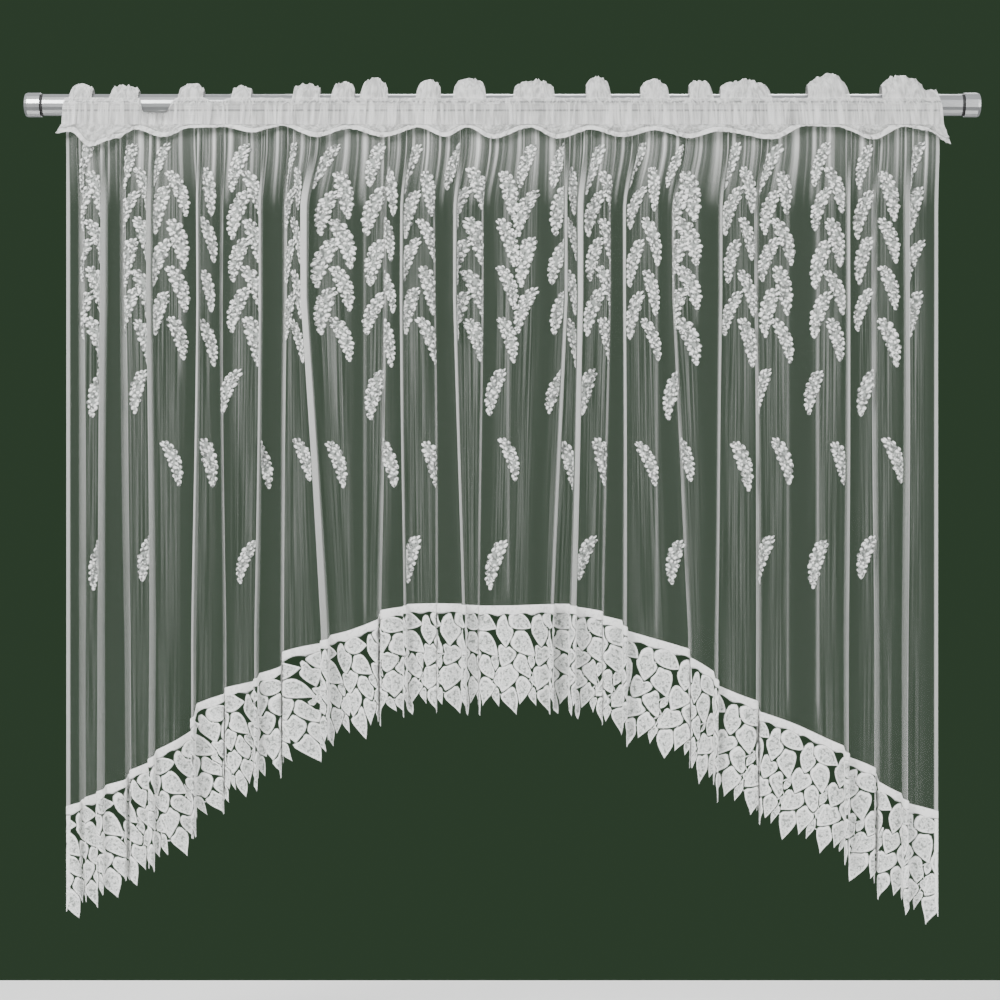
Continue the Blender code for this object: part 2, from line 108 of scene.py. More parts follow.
class Leaf(NamedTuple):
    """One leaf of the repeat: its middle in shares of pitch and depth, its size, and its turn in degrees."""

    along: float
    down: float
    length: float
    width: float
    turn: float
    form: LeafForm


class Puff(NamedTuple):
    """A loop of the heading that stands up over the rod."""

    x: float
    half_width: float
    rise: float


class HemPoint(NamedTuple):
    """A place on the flounce's wavy lower edge."""

    x: float
    z: float


class Crease(NamedTuple):
    """A shallow crease of the net, which the solids leave out."""

    x: float
    z_top: float
    z_bottom: float
    cover: float


class Lobe(NamedTuple):
    """One lobe of a spike: metres across, share of the length down, turn, and scales of size and height."""

    across: float
    down: float
    turn: float
    size: float
    height: float


class Streak(NamedTuple):
    """Gathered net under the heading: how far apart its streaks are, how thin, and the light they stop."""

    apart: float
    thin: float
    cover: float


class BareStretch(NamedTuple):
    """Where the heading's slot opens lower in front of the rod: its ends, and how far it opens, up to 1."""

    left: float
    right: float
    opening: float


class Crumple(NamedTuple):
    """One family of the voile's slanting creases: how far apart, how they slant, their wave and thinness."""

    apart: float
    slant: float
    seed: float
    thin: float


class Lamp(NamedTuple):
    """One soft square light that shines at the curtain's middle: its place, side and power in watts."""

    name: str
    place: Point
    side: float
    power: float


FOLDS = (
    Fold(-0.758, -0.756, 0.012, 0.012, 0.30),
    Fold(-0.716, -0.722, 0.012, -0.018, 0.34),
    Fold(-0.684, -0.676, 0.010, 0.020, 0.30),
    Fold(-0.634, -0.630, 0.010, -0.020, 0.36),
    Fold(-0.546, -0.553, 0.005, -0.036, 0.55),
    Fold(-0.507, -0.501, 0.004, 0.020, 0.35),
    Fold(-0.433, -0.442, 0.005, -0.028, 0.48),
    Fold(-0.393, -0.399, 0.006, 0.024, 0.55),
    Fold(-0.356, -0.318, 0.014, -0.032, 0.62),
    Fold(-0.212, -0.222, 0.006, 0.026, 0.45),
    Fold(-0.181, -0.176, 0.005, -0.020, 0.50),
    Fold(-0.123, -0.118, 0.004, 0.015, 0.30),
    Fold(-0.086, -0.069, 0.006, -0.026, 0.55),
    Fold(-0.037, -0.042, 0.004, 0.020, 0.40),
    Fold(0.114, 0.087, 0.006, -0.026, 0.50),
    Fold(0.140, 0.125, 0.011, -0.034, 0.60),
    Fold(0.192, 0.181, 0.004, 0.015, 0.35),
    Fold(0.219, 0.221, 0.006, -0.026, 0.55),
    Fold(0.309, 0.338, 0.005, 0.020, 0.45),
    Fold(0.392, 0.383, 0.005, -0.022, 0.45),
    Fold(0.458, 0.463, 0.007, 0.026, 0.50),
    Fold(0.622, 0.618, 0.006, -0.024, 0.45),
    Fold(0.670, 0.674, 0.008, 0.020, 0.40),
    Fold(0.726, 0.724, 0.010, -0.022, 0.36),
)

CREASES = (
    Crease(-0.579, -0.15, -0.50, 0.16),
    Crease(-0.248, -0.12, -0.95, 0.14),
    Crease(0.010, -0.12, -0.90, 0.12),
    Crease(0.277, -0.12, -0.98, 0.15),
    Crease(0.350, -0.10, -0.40, 0.16),
    Crease(0.514, -0.10, -1.10, 0.12),
    Crease(0.568, -0.12, -1.12, 0.22),
)

STREAKS = (
    Streak(0.034, 2.2, 0.80),
    Streak(0.014, 2.6, 0.34),
)

ARCH = (
    ArchPoint(-0.783, -1.262),
    ArchPoint(-0.705, -1.222),
    ArchPoint(-0.607, -1.154),
    ArchPoint(-0.517, -1.066),
    ArchPoint(-0.422, -1.019),
    ArchPoint(-0.363, -0.976),
    ArchPoint(-0.271, -0.945),
    ArchPoint(-0.203, -0.907),
    ArchPoint(-0.130, -0.898),
    ArchPoint(-0.033, -0.902),
    ArchPoint(0.120, -0.899),
    ArchPoint(0.175, -0.911),
    ArchPoint(0.266, -0.959),
    ArchPoint(0.361, -1.008),
    ArchPoint(0.433, -1.064),
    ArchPoint(0.519, -1.112),
    ArchPoint(0.597, -1.147),
    ArchPoint(0.649, -1.184),
    ArchPoint(0.712, -1.237),
    ArchPoint(0.782, -1.271),
)

LEFT_LEANING = (
    -0.752, -0.668, -0.612, -0.469, -0.382, -0.314, -0.223, -0.162, -0.077, 0.048,
    0.109, 0.169, 0.243, 0.319, 0.416, 0.485, 0.578, 0.655, 0.745,
)
RIGHT_LEANING = (
    -0.735, -0.650, -0.590, -0.534, -0.453, -0.374, -0.295, -0.210, -0.139, -0.055,
    0.005, 0.122, 0.183, 0.264, 0.330, 0.435, 0.500, 0.595, 0.690,
)
LEANINGS = ((Lean.TIP_LEFT, LEFT_LEANING), (Lean.TIP_RIGHT, RIGHT_LEANING))
PAIRED_TOPS = (-0.070, -0.116, -0.151, -0.204, -0.241, -0.294, -0.333, -0.384)
PAIRED_ROWS = tuple(SpikeRow(top, *LEANINGS[k % 2]) for k, top in enumerate(PAIRED_TOPS))
SPIKE_ROWS = (
    *PAIRED_ROWS,
    SpikeRow(
        -0.477,
        Lean.TIP_LEFT,
        (-0.725, -0.655, -0.489, -0.227, -0.012, 0.100, 0.152, 0.309, 0.467, 0.562, 0.659, 0.775),
    ),
    SpikeRow(
        -0.603,
        Lean.TIP_RIGHT,
        (
            -0.770, -0.595, -0.530, -0.436, -0.360, -0.298, -0.209, -0.129, 0.011, 0.117,
            0.178, 0.260, 0.327, 0.430, 0.504, 0.607, 0.703,
        ),
    ),
    SpikeRow(
        -0.780,
        Lean.TIP_LEFT,
        (-0.722, -0.640, -0.458, -0.163, -0.010, 0.150, 0.312, 0.470, 0.570, 0.655, 0.775),
    ),
)

LACE_REPEAT = (
    Leaf(0.97, 0.480, 0.038, 0.021, 95.0, LeafForm.ROUND),
    Leaf(0.98, 0.665, 0.037, 0.022, 70.0, LeafForm.ROUND),
    Leaf(0.90, 0.825, 0.040, 0.017, 80.0, LeafForm.POINTED),
    Leaf(0.62, 0.155, 0.039, 0.026, 18.0, LeafForm.ROUND),
    Leaf(0.20, 0.240, 0.045, 0.029, 88.0, LeafForm.ROUND),
    Leaf(0.66, 0.350, 0.051, 0.030, 52.0, LeafForm.ROUND),
    Leaf(0.24, 0.455, 0.040, 0.031, 100.0, LeafForm.ROUND),
    Leaf(0.72, 0.560, 0.042, 0.032, 74.0, LeafForm.ROUND),
    Leaf(0.25, 0.665, 0.046, 0.031, 113.0, LeafForm.ROUND),
    Leaf(0.68, 0.780, 0.048, 0.027, 96.0, LeafForm.POINTED),
    Leaf(0.33, 0.870, 0.053, 0.031, 80.0, LeafForm.POINTED),
)


class LeafRing(NamedTuple):
    """A ring of points round a leaf: its share of the outline, its height, its cord mask, and its mask of
    painted groove shade.
    """

    scale: float
    lift: float
    ridge: float
    groove_shade: float


LEAF_RINGS = (
    LeafRing(0.30, 0.0009, 0.05, 0.0),
    LeafRing(0.70, 0.0005, 0.05, 0.0),
    LeafRing(0.78, 0.0016, 0.95, 0.0),
    LeafRing(0.89, 0.0016, 1.00, 0.0),
    LeafRing(0.94, 0.0008, 0.80, 0.1),
    LeafRing(1.00, -0.0003, 0.10, 1.0),
)
BAR_ROW = LeafRing(1.00, -0.0004, 0.50, 0.25)
# The same values down the plain band, whose scale runs from its top edge to its lower one
BAND_ROWS = (
    LeafRing(0.00, 0.0000, 0.60, 0.3),
    LeafRing(0.12, 0.0008, 1.00, 0.0),
    LeafRing(0.50, 0.0006, 0.75, 0.0),
    LeafRing(0.84, 0.0009, 1.00, 0.0),
    LeafRing(1.00, 0.0000, 0.30, 1.0),
)

# The same values across the woven edge, whose scale runs inwards
EDGE_ROWS = (
    LeafRing(0.00, 0.0008, 1.00, 0.0),
    LeafRing(0.75, 0.0012, 0.90, 0.0),
    LeafRing(1.00, 0.0004, 0.20, 0.8),
)

PUFFS = (
    Puff(-0.762, 0.022, 0.013),
    Puff(-0.684, 0.027, 0.013),
    Puff(-0.563, 0.024, 0.014),
    Puff(-0.471, 0.020, 0.010),
    Puff(-0.354, 0.027, 0.016),
    Puff(-0.288, 0.022, 0.019),
    Puff(-0.231, 0.026, 0.025),
    Puff(-0.132, 0.024, 0.021),
    Puff(-0.059, 0.032, 0.025),
    Puff(0.058, 0.040, 0.022),
    Puff(0.173, 0.024, 0.028),
    Puff(0.276, 0.028, 0.022),
    Puff(0.359, 0.023, 0.023),
    Puff(0.440, 0.048, 0.022),
    Puff(0.590, 0.040, 0.033),
    Puff(0.726, 0.042, 0.031),
    Puff(0.782, 0.014, 0.002),
)

BARE_STRETCHES = (
    BareStretch(-0.655, -0.589, 1.0),
    BareStretch(-0.537, -0.493, 0.2),
)

CRUMPLES = (
    Crumple(0.037, 0.62, 2.2, 3.2),
    Crumple(0.026, -0.85, 4.1, 3.6),
    Crumple(0.061, -0.40, 0.6, 5.0),
)

# The lobes at a spike's top, two side by side, and the one at its tip
END_LOBES = (
    Lobe(-0.003, 0.035, -0.3, 0.85, 0.8),
    Lobe(0.004, 0.025, 0.4, 0.8, 0.9),
    Lobe(0.0, 0.955, 0.0, 0.62, 0.6),
)

LAMPS = (
    Lamp("key_light", (-2.2, -3.0, 1.6), 1.8, 290.0),
    Lamp("fill_light", (2.6, -2.6, 0.2), 2.2, 110.0),
    Lamp("back_light", (0.4, 2.4, 1.4), 1.8, 110.0),
)

FLOUNCE_HEM = (
    HemPoint(-0.802, -0.053),
    HemPoint(-0.776, -0.050),
    HemPoint(-0.741, -0.077),
    HemPoint(-0.690, -0.062),
    HemPoint(-0.660, -0.046),
    HemPoint(-0.610, -0.060),
    HemPoint(-0.560, -0.044),
    HemPoint(-0.500, -0.042),
    HemPoint(-0.450, -0.052),
    HemPoint(-0.397, -0.040),
    HemPoint(-0.334, -0.060),
    HemPoint(-0.276, -0.045),
    HemPoint(-0.214, -0.060),
    HemPoint(-0.150, -0.043),
    HemPoint(-0.103, -0.060),
    HemPoint(-0.064, -0.043),
    HemPoint(-0.017, -0.063),
    HemPoint(0.049, -0.043),
    HemPoint(0.100, -0.063),
    HemPoint(0.158, -0.047),
    HemPoint(0.215, -0.060),
    HemPoint(0.275, -0.048),
    HemPoint(0.335, -0.062),
    HemPoint(0.390, -0.050),
    HemPoint(0.485, -0.064),
    HemPoint(0.545, -0.040),
    HemPoint(0.600, -0.042),
    HemPoint(0.665, -0.064),
    HemPoint(0.722, -0.041),
    HemPoint(0.758, -0.048),
    HemPoint(0.805, -0.072),
)


def blend(a: float, b: float, share: float) -> float:
    """The value this share of the way from a to b."""
    return a + (b - a) * share


def eased(value: float, start: float, end: float) -> float:
    """A soft step.

    Args:
        value: where to read the step.
        start: where it is 0.
        end: where it is 1.

    Returns:
        A number from 0 to 1.
    """
    share = min(1.0, max(0.0, (value - start) / (end - start)))
    return share * share * (3 - 2 * share)


def smooth_through(table: Sequence[tuple], at: float) -> float:
    """Reads a curve that is level at each of the table's high and low points.

    Args:
        table: rows of (place, height), in order of place.
        at: the place to read.

    Returns:
        The height there.
    """
    k = min(max(bisect_right([row[0] for row in table], at) - 1, 0), len(table) - 2)
    (x0, z0), (x1, z1) = table[k][:2], table[k + 1][:2]
    return blend(z0, z1, eased(at, x0, x1))


def cubic_through(table: Sequence[tuple], at: float) -> float:
    """Reads a smooth curve through the table's points, which runs straight on past its ends.

    Args:
        table: rows of (place, height), in order of place.
        at: the place to read.

    Returns:
        The height there.
    """
    places = [row[0] for row in table]

    def slope(k: int) -> float:
        """The curve's slope at the table's k-th point."""
        low, high = max(k - 1, 0), min(k + 1, len(table) - 1)
        return (table[high][1] - table[low][1]) / (places[high] - places[low])

    if at <= places[0]:
        return table[0][1] + slope(0) * (at - places[0])
    if at >= places[-1]:
        return table[-1][1] + slope(len(table) - 1) * (at - places[-1])
    k = bisect_right(places, at) - 1
    span = places[k + 1] - places[k]
    u = (at - places[k]) / span
    return (
        (2 * u**3 - 3 * u**2 + 1) * table[k][1]
        + (u**3 - 2 * u**2 + u) * span * slope(k)
        + (3 * u**2 - 2 * u**3) * table[k + 1][1]
        + (u**3 - u**2) * span * slope(k + 1)
    )


def wander(place: np.ndarray, seed: float) -> np.ndarray:
    """A smooth irregular wave from -1 to 1, the same on each run.

    Args:
        place: where to read it, in its own wavelengths.
        seed: a number that sets which wave it is.

    Returns:
        The wave's value at each place.
    """
    turns = np.asarray(place) * math.tau
    slow, fast = np.sin(turns * 0.43 + 2.1 * seed), np.sin(turns * 1.73 + 3.7 * seed)
    return (np.sin(turns + seed) + 0.6 * slow + 0.5 * fast) / (1 + 0.6 + 0.5)


def ramp(value: np.ndarray, start: float, end: float) -> np.ndarray:
    """A straight ramp from 0 at the start to 1 at the end, level past both."""
    return np.clip((value - start) / (end - start), 0, 1)


def dimmed(colour: Colour, share: float) -> Colour:
    """The colour at this share of its brightness."""
    return tuple(value * share for value in colour)


class Nodes:
    """Adds and links the nodes of one material or node group."""

    def __init__(self, tree: bpy.types.NodeTree) -> None:
        """Keeps the tree that the nodes go into."""
        self.tree = tree

    def add(self, kind: str, **settings: object) -> bpy.types.Node:
        """Adds a node.

        Args:
            kind: the node's Blender type, without its ShaderNode prefix.
            settings: its properties.

        Returns:
            The new node.
        """
        node = self.tree.nodes.new("ShaderNode" + kind)
        for name, value in settings.items():
            setattr(node, name, value)
        return node

    def plug(self, source: object, socket: bpy.types.NodeSocket) -> None:
        """Links a socket to another, or sets it where the source is a plain value."""
        if isinstance(source, bpy.types.NodeSocket):
            self.tree.links.new(source, socket)
        else:
            socket.default_value = source

    def feed(self, node: bpy.types.Node, **sources: object) -> bpy.types.Node:
        """Links or sets the inputs of these names, with a low line for each space, and returns the node."""
        for name, source in sources.items():
            self.plug(source, node.inputs[name.replace("_", " ")])
        return node

    def math(self, operation: str, *values: object, clamp: bool = False) -> bpy.types.NodeSocket:
        """Adds a Math node and returns its output."""
        node = self.add("Math", operation=operation, use_clamp=clamp)
        for socket, value in zip(node.inputs, values):
            self.plug(value, socket)
        return node.outputs[0]

    def mix(self, share: object, low: object, high: object) -> bpy.types.NodeSocket:
        """Mixes two colours by a share and returns the colour."""
        node = self.add("Mix", data_type="RGBA")
        self.plug(share, node.inputs[0])
        for socket, value in ((node.inputs[6], low), (node.inputs[7], high)):
            self.plug((*value, 1.0) if isinstance(value, tuple) else value, socket)
        return node.outputs[2]

    def attribute(self, name: str) -> bpy.types.NodeSocket:
        """The value of the piece's own attribute of this name."""
        return self.add("Attribute", attribute_name=name).outputs["Fac"]

    def object_place(self) -> bpy.types.NodeSocket:
        """The place in the piece's own coordinates, in metres."""
        return self.add("TexCoord").outputs["Object"]

    def scaled(self, place: object, scale: Point) -> bpy.types.NodeSocket:
        """Scales a place in each direction."""
        return self.feed(self.add("Mapping"), Vector=place, Scale=scale).outputs[0]

    def noise(
        self, place: object, scale: float, detail: float = 2.0, twist: float = 0.0
    ) -> bpy.types.NodeSocket:
        """Adds a Noise Texture and returns its value."""
        node = self.feed(self.add("TexNoise"), Vector=place, Scale=scale, Detail=detail, Distortion=twist)
        return node.outputs["Fac"]

    def spread(self, value: object, low: float, high: float) -> bpy.types.NodeSocket:
        """Stretches the range from low to high over 0 to 1, clamped; it falls where low is above high."""
        node = self.add("MapRange", clamp=True)
        return self.feed(node, Value=value, From_Min=low, From_Max=high).outputs[0]


def yarn_group() -> bpy.types.NodeTree:
    """Builds the shared yarn effect once.

    Returns:
        A node group that turns a place on the cloth into a mask and a height of fine crossing yarns.
    """
    name = "crossing_yarns"
    if name in bpy.data.node_groups:
        return bpy.data.node_groups[name]
    group = bpy.data.node_groups.new(name, "ShaderNodeTree")
    group.interface.new_socket("Vector", in_out="INPUT", socket_type="NodeSocketVector")
    for socket, side in (("Yarns", "INPUT"), ("Slub", "INPUT"), ("Mask", "OUTPUT"), ("Height", "OUTPUT")):
        group.interface.new_socket(socket, in_out=side, socket_type="NodeSocketFloat")
    nodes = Nodes(group)
    given = group.nodes.new("NodeGroupInput").outputs
    waves = []
    for direction in ("X", "Y"):
        wave = nodes.add("TexWave", wave_type="BANDS", bands_direction=direction, wave_profile="SIN")
        nodes.feed(wave, Vector=given["Vector"], Scale=given["Yarns"], Distortion=given["Slub"])
        waves.append(wave.outputs["Fac"])
    crossed = nodes.math("MAXIMUM", *waves)
    result = group.nodes.new("NodeGroupOutput")
    nodes.feed(result, Mask=crossed, Height=nodes.math("MULTIPLY", crossed, 0.5))
    return group


@dataclass(frozen=True)
class Finish:
    """What every finish has: name, colour, roughness, a slot name that nothing in the script reads, and
    sheen.
    """

    name: str
    colour: Colour
    roughness: float
    slot: str
    sheen: float = 0.0

    def shader(self) -> tuple[bpy.types.Material, Nodes, bpy.types.Node]:
        """Makes the plain material.

        Returns:
            The material, its nodes and its Principled BSDF.
        """
        made = bpy.data.materials.new(self.name)
        made.use_nodes = True
        nodes = Nodes(made.node_tree)
        shader = made.node_tree.nodes["Principled BSDF"]
        colour = (*self.colour, 1.0)
        nodes.feed(shader, Base_Color=colour, Roughness=self.roughness, Sheen_Weight=self.sheen)
        return made, nodes, shader

    def bump(self, nodes: Nodes, shader: bpy.types.Node, height: object, distance: float) -> None:
        """Raises the surface by this height in the light alone."""
        bump = nodes.feed(nodes.add("Bump"), Distance=distance, Height=height)
        nodes.feed(shader, Normal=bump.outputs[0])


@dataclass(frozen=True)
class ClothFinish(Finish):
    """A finish whose threads follow the flat cloth."""

    flat_size: Range = (1.0, 1.0)

    def place(self, nodes: Nodes, across: float = 1.0, down: float = 1.0) -> bpy.types.NodeSocket:
        """The place on the flat cloth in metres, times a factor each way."""
        width, height = self.flat_size
        flat = nodes.add("UVMap", uv_map=UV_NAME).outputs[0]
        return nodes.scaled(flat, (width * across, height * down, 1.0))

    def yarns(self, nodes: Nodes, scale: float, slub: float) -> bpy.types.Node:
        """The shared yarn effect, with this many waves and this unevenness."""
        node = nodes.add("Group", node_tree=yarn_group())
        return nodes.feed(node, Vector=self.place(nodes), Yarns=scale, Slub=slub)


@dataclass(frozen=True)
class NetFinish(ClothFinish):
    """Very transparent net, hazier where fine upright threads run below the spikes."""

    sheen: float = 0.25
    thread_haze: float = 0.42
    thread_scale: Range = (420.0, 3.0)
    thread_edges: Range = (0.42, 0.68)
    yarn_scale: float = 330.0
    slub: float = 0.6
    yarn_cover: float = 0.5
    least_cover: float = 0.6
    tone_scale: Range = (60.0, 6.0)
    dim_tone: float = 0.93
    relief: float = 0.0003

    def build(self) -> bpy.types.Material:
        """Makes the net's material."""
        made, nodes, shader = self.shader()
        streaks = nodes.noise(self.place(nodes, *self.thread_scale), 1.0, detail=3.0)
        haze = nodes.math("MULTIPLY", nodes.attribute("haze"), nodes.spread(streaks, *self.thread_edges))
        yarns = self.yarns(nodes, self.yarn_scale, self.slub)
        woven = nodes.math("MULTIPLY_ADD", yarns.outputs["Mask"], self.yarn_cover, self.least_cover)
        clear = nodes.math("MULTIPLY", nodes.attribute("cover"), woven)
        alpha = nodes.math("MULTIPLY_ADD", haze, self.thread_haze, clear, clamp=True)
        tone = nodes.noise(self.place(nodes, *self.tone_scale), 1.0)
        colour = nodes.mix(tone, dimmed(self.colour, self.dim_tone), self.colour)
        nodes.feed(shader, Alpha=alpha, Base_Color=colour)
        self.bump(nodes, shader, yarns.outputs["Height"], self.relief)
        return made


@dataclass(frozen=True)
class SpikeFinish(Finish):
    """Thick white yarn of the woven spikes, with painted shade that greys its hollows and the low rings of
    its lobes.
    """

    sheen: float = 0.3
    hollow_shade: Colour = (0.30, 0.32, 0.30)
    hollow_shade_edges: Range = (0.18, 0.85)
    fluff_scale: float = 900.0
    fluff_share: float = 0.5
    relief: float = 0.0008
    speck_colour: Colour = (0.10, 0.11, 0.10)
    speck_scale: float = 210.0
    speck_edges: Range = (0.55, 0.58)
    speck_strength: float = 0.90

    def build(self) -> bpy.types.Material:
        """Makes the spikes' material."""
        made, nodes, shader = self.shader()
        place = nodes.object_place()
        fluff = nodes.noise(place, self.fluff_scale, detail=3.0)
        loose = nodes.math("MULTIPLY_ADD", fluff, self.fluff_share, 1 - self.fluff_share / 2)
        # Painted shade: the ridge mask is high on the lobes' tops and low on their foot rings and the flat
        # backing, and the yarn greys where it is low.
        ridge = nodes.spread(nodes.attribute("ridge"), *self.hollow_shade_edges)
        lit = nodes.mix(nodes.math("MULTIPLY", ridge, loose, clamp=True), self.hollow_shade, self.colour)
        specks = nodes.spread(nodes.noise(place, self.speck_scale, detail=1.0), *self.speck_edges)
        shown = nodes.math("MULTIPLY", specks, self.speck_strength)
        nodes.feed(shader, Base_Color=nodes.mix(shown, lit, self.speck_colour))
        self.bump(nodes, shader, fluff, self.relief)
        return made


@dataclass(frozen=True)
class LaceFinish(Finish):
    """Leaf lace: bright corded outlines and speckled grey leaves, with painted shade in broken dark lines
    along their outlines, beside the open slits between them.
    """

    sheen: float = 0.2
    field_colour: Colour = (0.50, 0.52, 0.50)
    field_scale: float = 330.0
    field_edges: Range = (0.36, 0.70)
    rim_edges: Range = (0.25, 0.75)
    speck_colour: Colour = (0.20, 0.22, 0.20)
    speck_scale: float = 190.0
    speck_edges: Range = (0.57, 0.61)
    speck_strength: float = 0.80
    speck_loss_on_rim: float = 0.60
    groove_shade: Colour = (0.11, 0.12, 0.11)
    groove_shade_edges: Range = (0.10, 0.75)
    break_scale: float = 75.0
    break_edges: Range = (0.42, 0.56)
    least_groove_shade: float = 0.35
    grain_scale: float = 1500.0
    field_relief: float = 0.6
    relief: float = 0.0006

    def build(self) -> bpy.types.Material:
        """Makes the lace's material."""
        made, nodes, shader = self.shader()
        place = nodes.object_place()
        speckle = nodes.noise(place, self.field_scale)
        leaf = nodes.mix(nodes.spread(speckle, *self.field_edges), self.field_colour, self.colour)
        rim = nodes.spread(nodes.attribute("ridge"), *self.rim_edges)
        specks = nodes.spread(nodes.noise(place, self.speck_scale, detail=1.0), *self.speck_edges)
        strength = nodes.math("MULTIPLY_ADD", rim, -self.speck_loss_on_rim, self.speck_strength)
        shown = nodes.math("MULTIPLY", specks, strength)
        lit = nodes.mix(shown, nodes.mix(rim, leaf, self.colour), self.speck_colour)
        # Painted shade: dark broken lines along each leaf's outline, the bars, the band's lower edge and the
        # woven edge, where the groove shade mask is high.
        breaks = nodes.spread(nodes.noise(place, self.break_scale, detail=1.0), *self.break_edges)
        broken = nodes.math("MULTIPLY_ADD", breaks, 1 - self.least_groove_shade, self.least_groove_shade)
        groove_shade = nodes.spread(nodes.attribute("groove_shade"), *self.groove_shade_edges)
        groove_shaded = nodes.math("MULTIPLY", groove_shade, broken)
        nodes.feed(shader, Base_Color=nodes.mix(groove_shaded, lit, self.groove_shade))
        grain = nodes.noise(place, self.grain_scale)
        self.bump(nodes, shader, nodes.math("MULTIPLY_ADD", speckle, self.field_relief, grain), self.relief)
        return made


@dataclass(frozen=True)
class VoileFinish(ClothFinish):
    """Semi-sheer crumpled voile of the heading, with painted shade in its creases, painted dark reflection
    lines of the rod, and a brighter hem.
    """

    sheen: float = 0.25
    yarn_scale: float = 500.0
    slub: float = 0.5
    yarn_cover: float = 0.08
    least_cover: float = 0.94
    crease_scale: Range = (85.0, 42.0)
    crease_twist: float = 1.6
    thin_edges: Range = (0.36, 0.58)
    thin_cover: float = 0.74
    hem_edges: Range = (0.95, 0.98)
    crease_shade_tone: float = 0.74
    plain_tone: float = 0.94
    crease_shade_edges: Range = (0.34, 0.60)
    painted_rod_line_tone: Colour = (0.22, 0.23, 0.22)
    painted_rod_line_strength: float = 0.8
    painted_rod_line_heights: Range = (0.0022, -0.0124)
    painted_rod_line_half: float = 0.0022
    painted_rod_line_edges: Range = (0.60, 0.42)
    yarn_relief: float = 0.1
    relief: float = 0.006

    def painted_rod_lines(self, nodes: Nodes) -> bpy.types.NodeSocket:
        """A mask of two level lines on the cloth, where the rod's dark reflection lines are painted into its
        colour.
        """
        height = nodes.feed(nodes.add("SeparateXYZ"), Vector=nodes.object_place()).outputs["Z"]
        lines = []
        for level in self.painted_rod_line_heights:
            away = nodes.math("ABSOLUTE", nodes.math("SUBTRACT", height, level))
            lines.append(nodes.spread(away, self.painted_rod_line_half, self.painted_rod_line_half / 3))
        return nodes.math("MAXIMUM", *lines)

    def build(self) -> bpy.types.Material:
        """Makes the heading's material."""
        made, nodes, shader = self.shader()
        yarns = self.yarns(nodes, self.yarn_scale, self.slub)
        creases = nodes.noise(self.place(nodes, *self.crease_scale), 1.0, detail=3.0, twist=self.crease_twist)
        cover = nodes.attribute("cover")
        hemmed = nodes.spread(cover, *self.hem_edges)
        crossing = nodes.spread(creases, *self.thin_edges)
        thin = nodes.math("MULTIPLY_ADD", crossing, 1 - self.thin_cover, self.thin_cover)
        woven = nodes.math("MULTIPLY_ADD", yarns.outputs["Mask"], self.yarn_cover, self.least_cover)
        fine = nodes.math("MULTIPLY", nodes.math("MAXIMUM", thin, hemmed), woven)
        # Painted shade: the voile's colour darkens in the low places of the crease noise, where its creases
        # would lie in shade.
        dim, plain = (dimmed(self.colour, tone) for tone in (self.crease_shade_tone, self.plain_tone))
        folded = nodes.mix(nodes.spread(creases, *self.crease_shade_edges), dim, plain)
        # Painted reflection: the rod chrome's two dark lines are painted into the voile's colour where the
        # crease noise runs low.
        painted_rod_line_share = nodes.spread(creases, *self.painted_rod_line_edges)
        painted_rod_line_mask = nodes.math("MULTIPLY", self.painted_rod_lines(nodes), painted_rod_line_share, clamp=True)
        shaded = nodes.mix(nodes.math("MULTIPLY", painted_rod_line_mask, self.painted_rod_line_strength), folded, self.painted_rod_line_tone)
        alpha = nodes.math("MULTIPLY", cover, fine, clamp=True)
        nodes.feed(shader, Alpha=alpha, Base_Color=nodes.mix(hemmed, shaded, self.colour))
        height = nodes.math("MULTIPLY_ADD", yarns.outputs["Height"], self.yarn_relief, creases)
        self.bump(nodes, shader, height, self.relief)
        return made


@dataclass(frozen=True)
class SteelFinish(Finish):
    """Bright steel with fine drawing marks along the tube and dull handling marks."""

    marks: float = 1.0
    drawn_scale: Range = (6.0, 1400.0)
    patch_scale: float = 22.0
    patch_roughness: float = 0.16
    dim_tone: float = 0.88
    relief: float = 0.00004

    def build(self) -> bpy.types.Material:
        """Makes the steel's material."""
        made, nodes, shader = self.shader()
        place = nodes.object_place()
        along, round_tube = self.drawn_scale[0], self.drawn_scale[1] * self.marks
        drawn = nodes.noise(nodes.scaled(place, (along, round_tube, round_tube)), 1.0)
        patches = nodes.noise(place, self.patch_scale, detail=3.0)
        least = self.roughness - self.patch_roughness / 2
        rough = nodes.math("MULTIPLY_ADD", patches, self.patch_roughness, least)
        colour = nodes.mix(drawn, dimmed(self.colour, self.dim_tone), self.colour)
        nodes.feed(shader, Metallic=1.0, Roughness=rough, Base_Color=colour)
        self.bump(nodes, shader, drawn, self.relief)
        return made


@dataclass(frozen=True)
class RubberFinish(Finish):
    """Matt black rubber with a fine grain."""

    grain_scale: float = 1800.0
    grain_roughness: float = 0.2
    relief: float = 0.0001

    def build(self) -> bpy.types.Material:
        """Makes the rubber's material."""
        made, nodes, shader = self.shader()
        grain = nodes.noise(nodes.object_place(), self.grain_scale)
        least = self.roughness - self.grain_roughness / 2
        nodes.feed(shader, Roughness=nodes.math("MULTIPLY_ADD", grain, self.grain_roughness, least))
        self.bump(nodes, shader, grain, self.relief)
        return made


class Column(NamedTuple):
    """An upright line on the flat cloth, along which it bends when it hangs."""

    s: float
    gather_side: float
    fold: int
    offset: float
    stands: float
    share: float
    wave: float


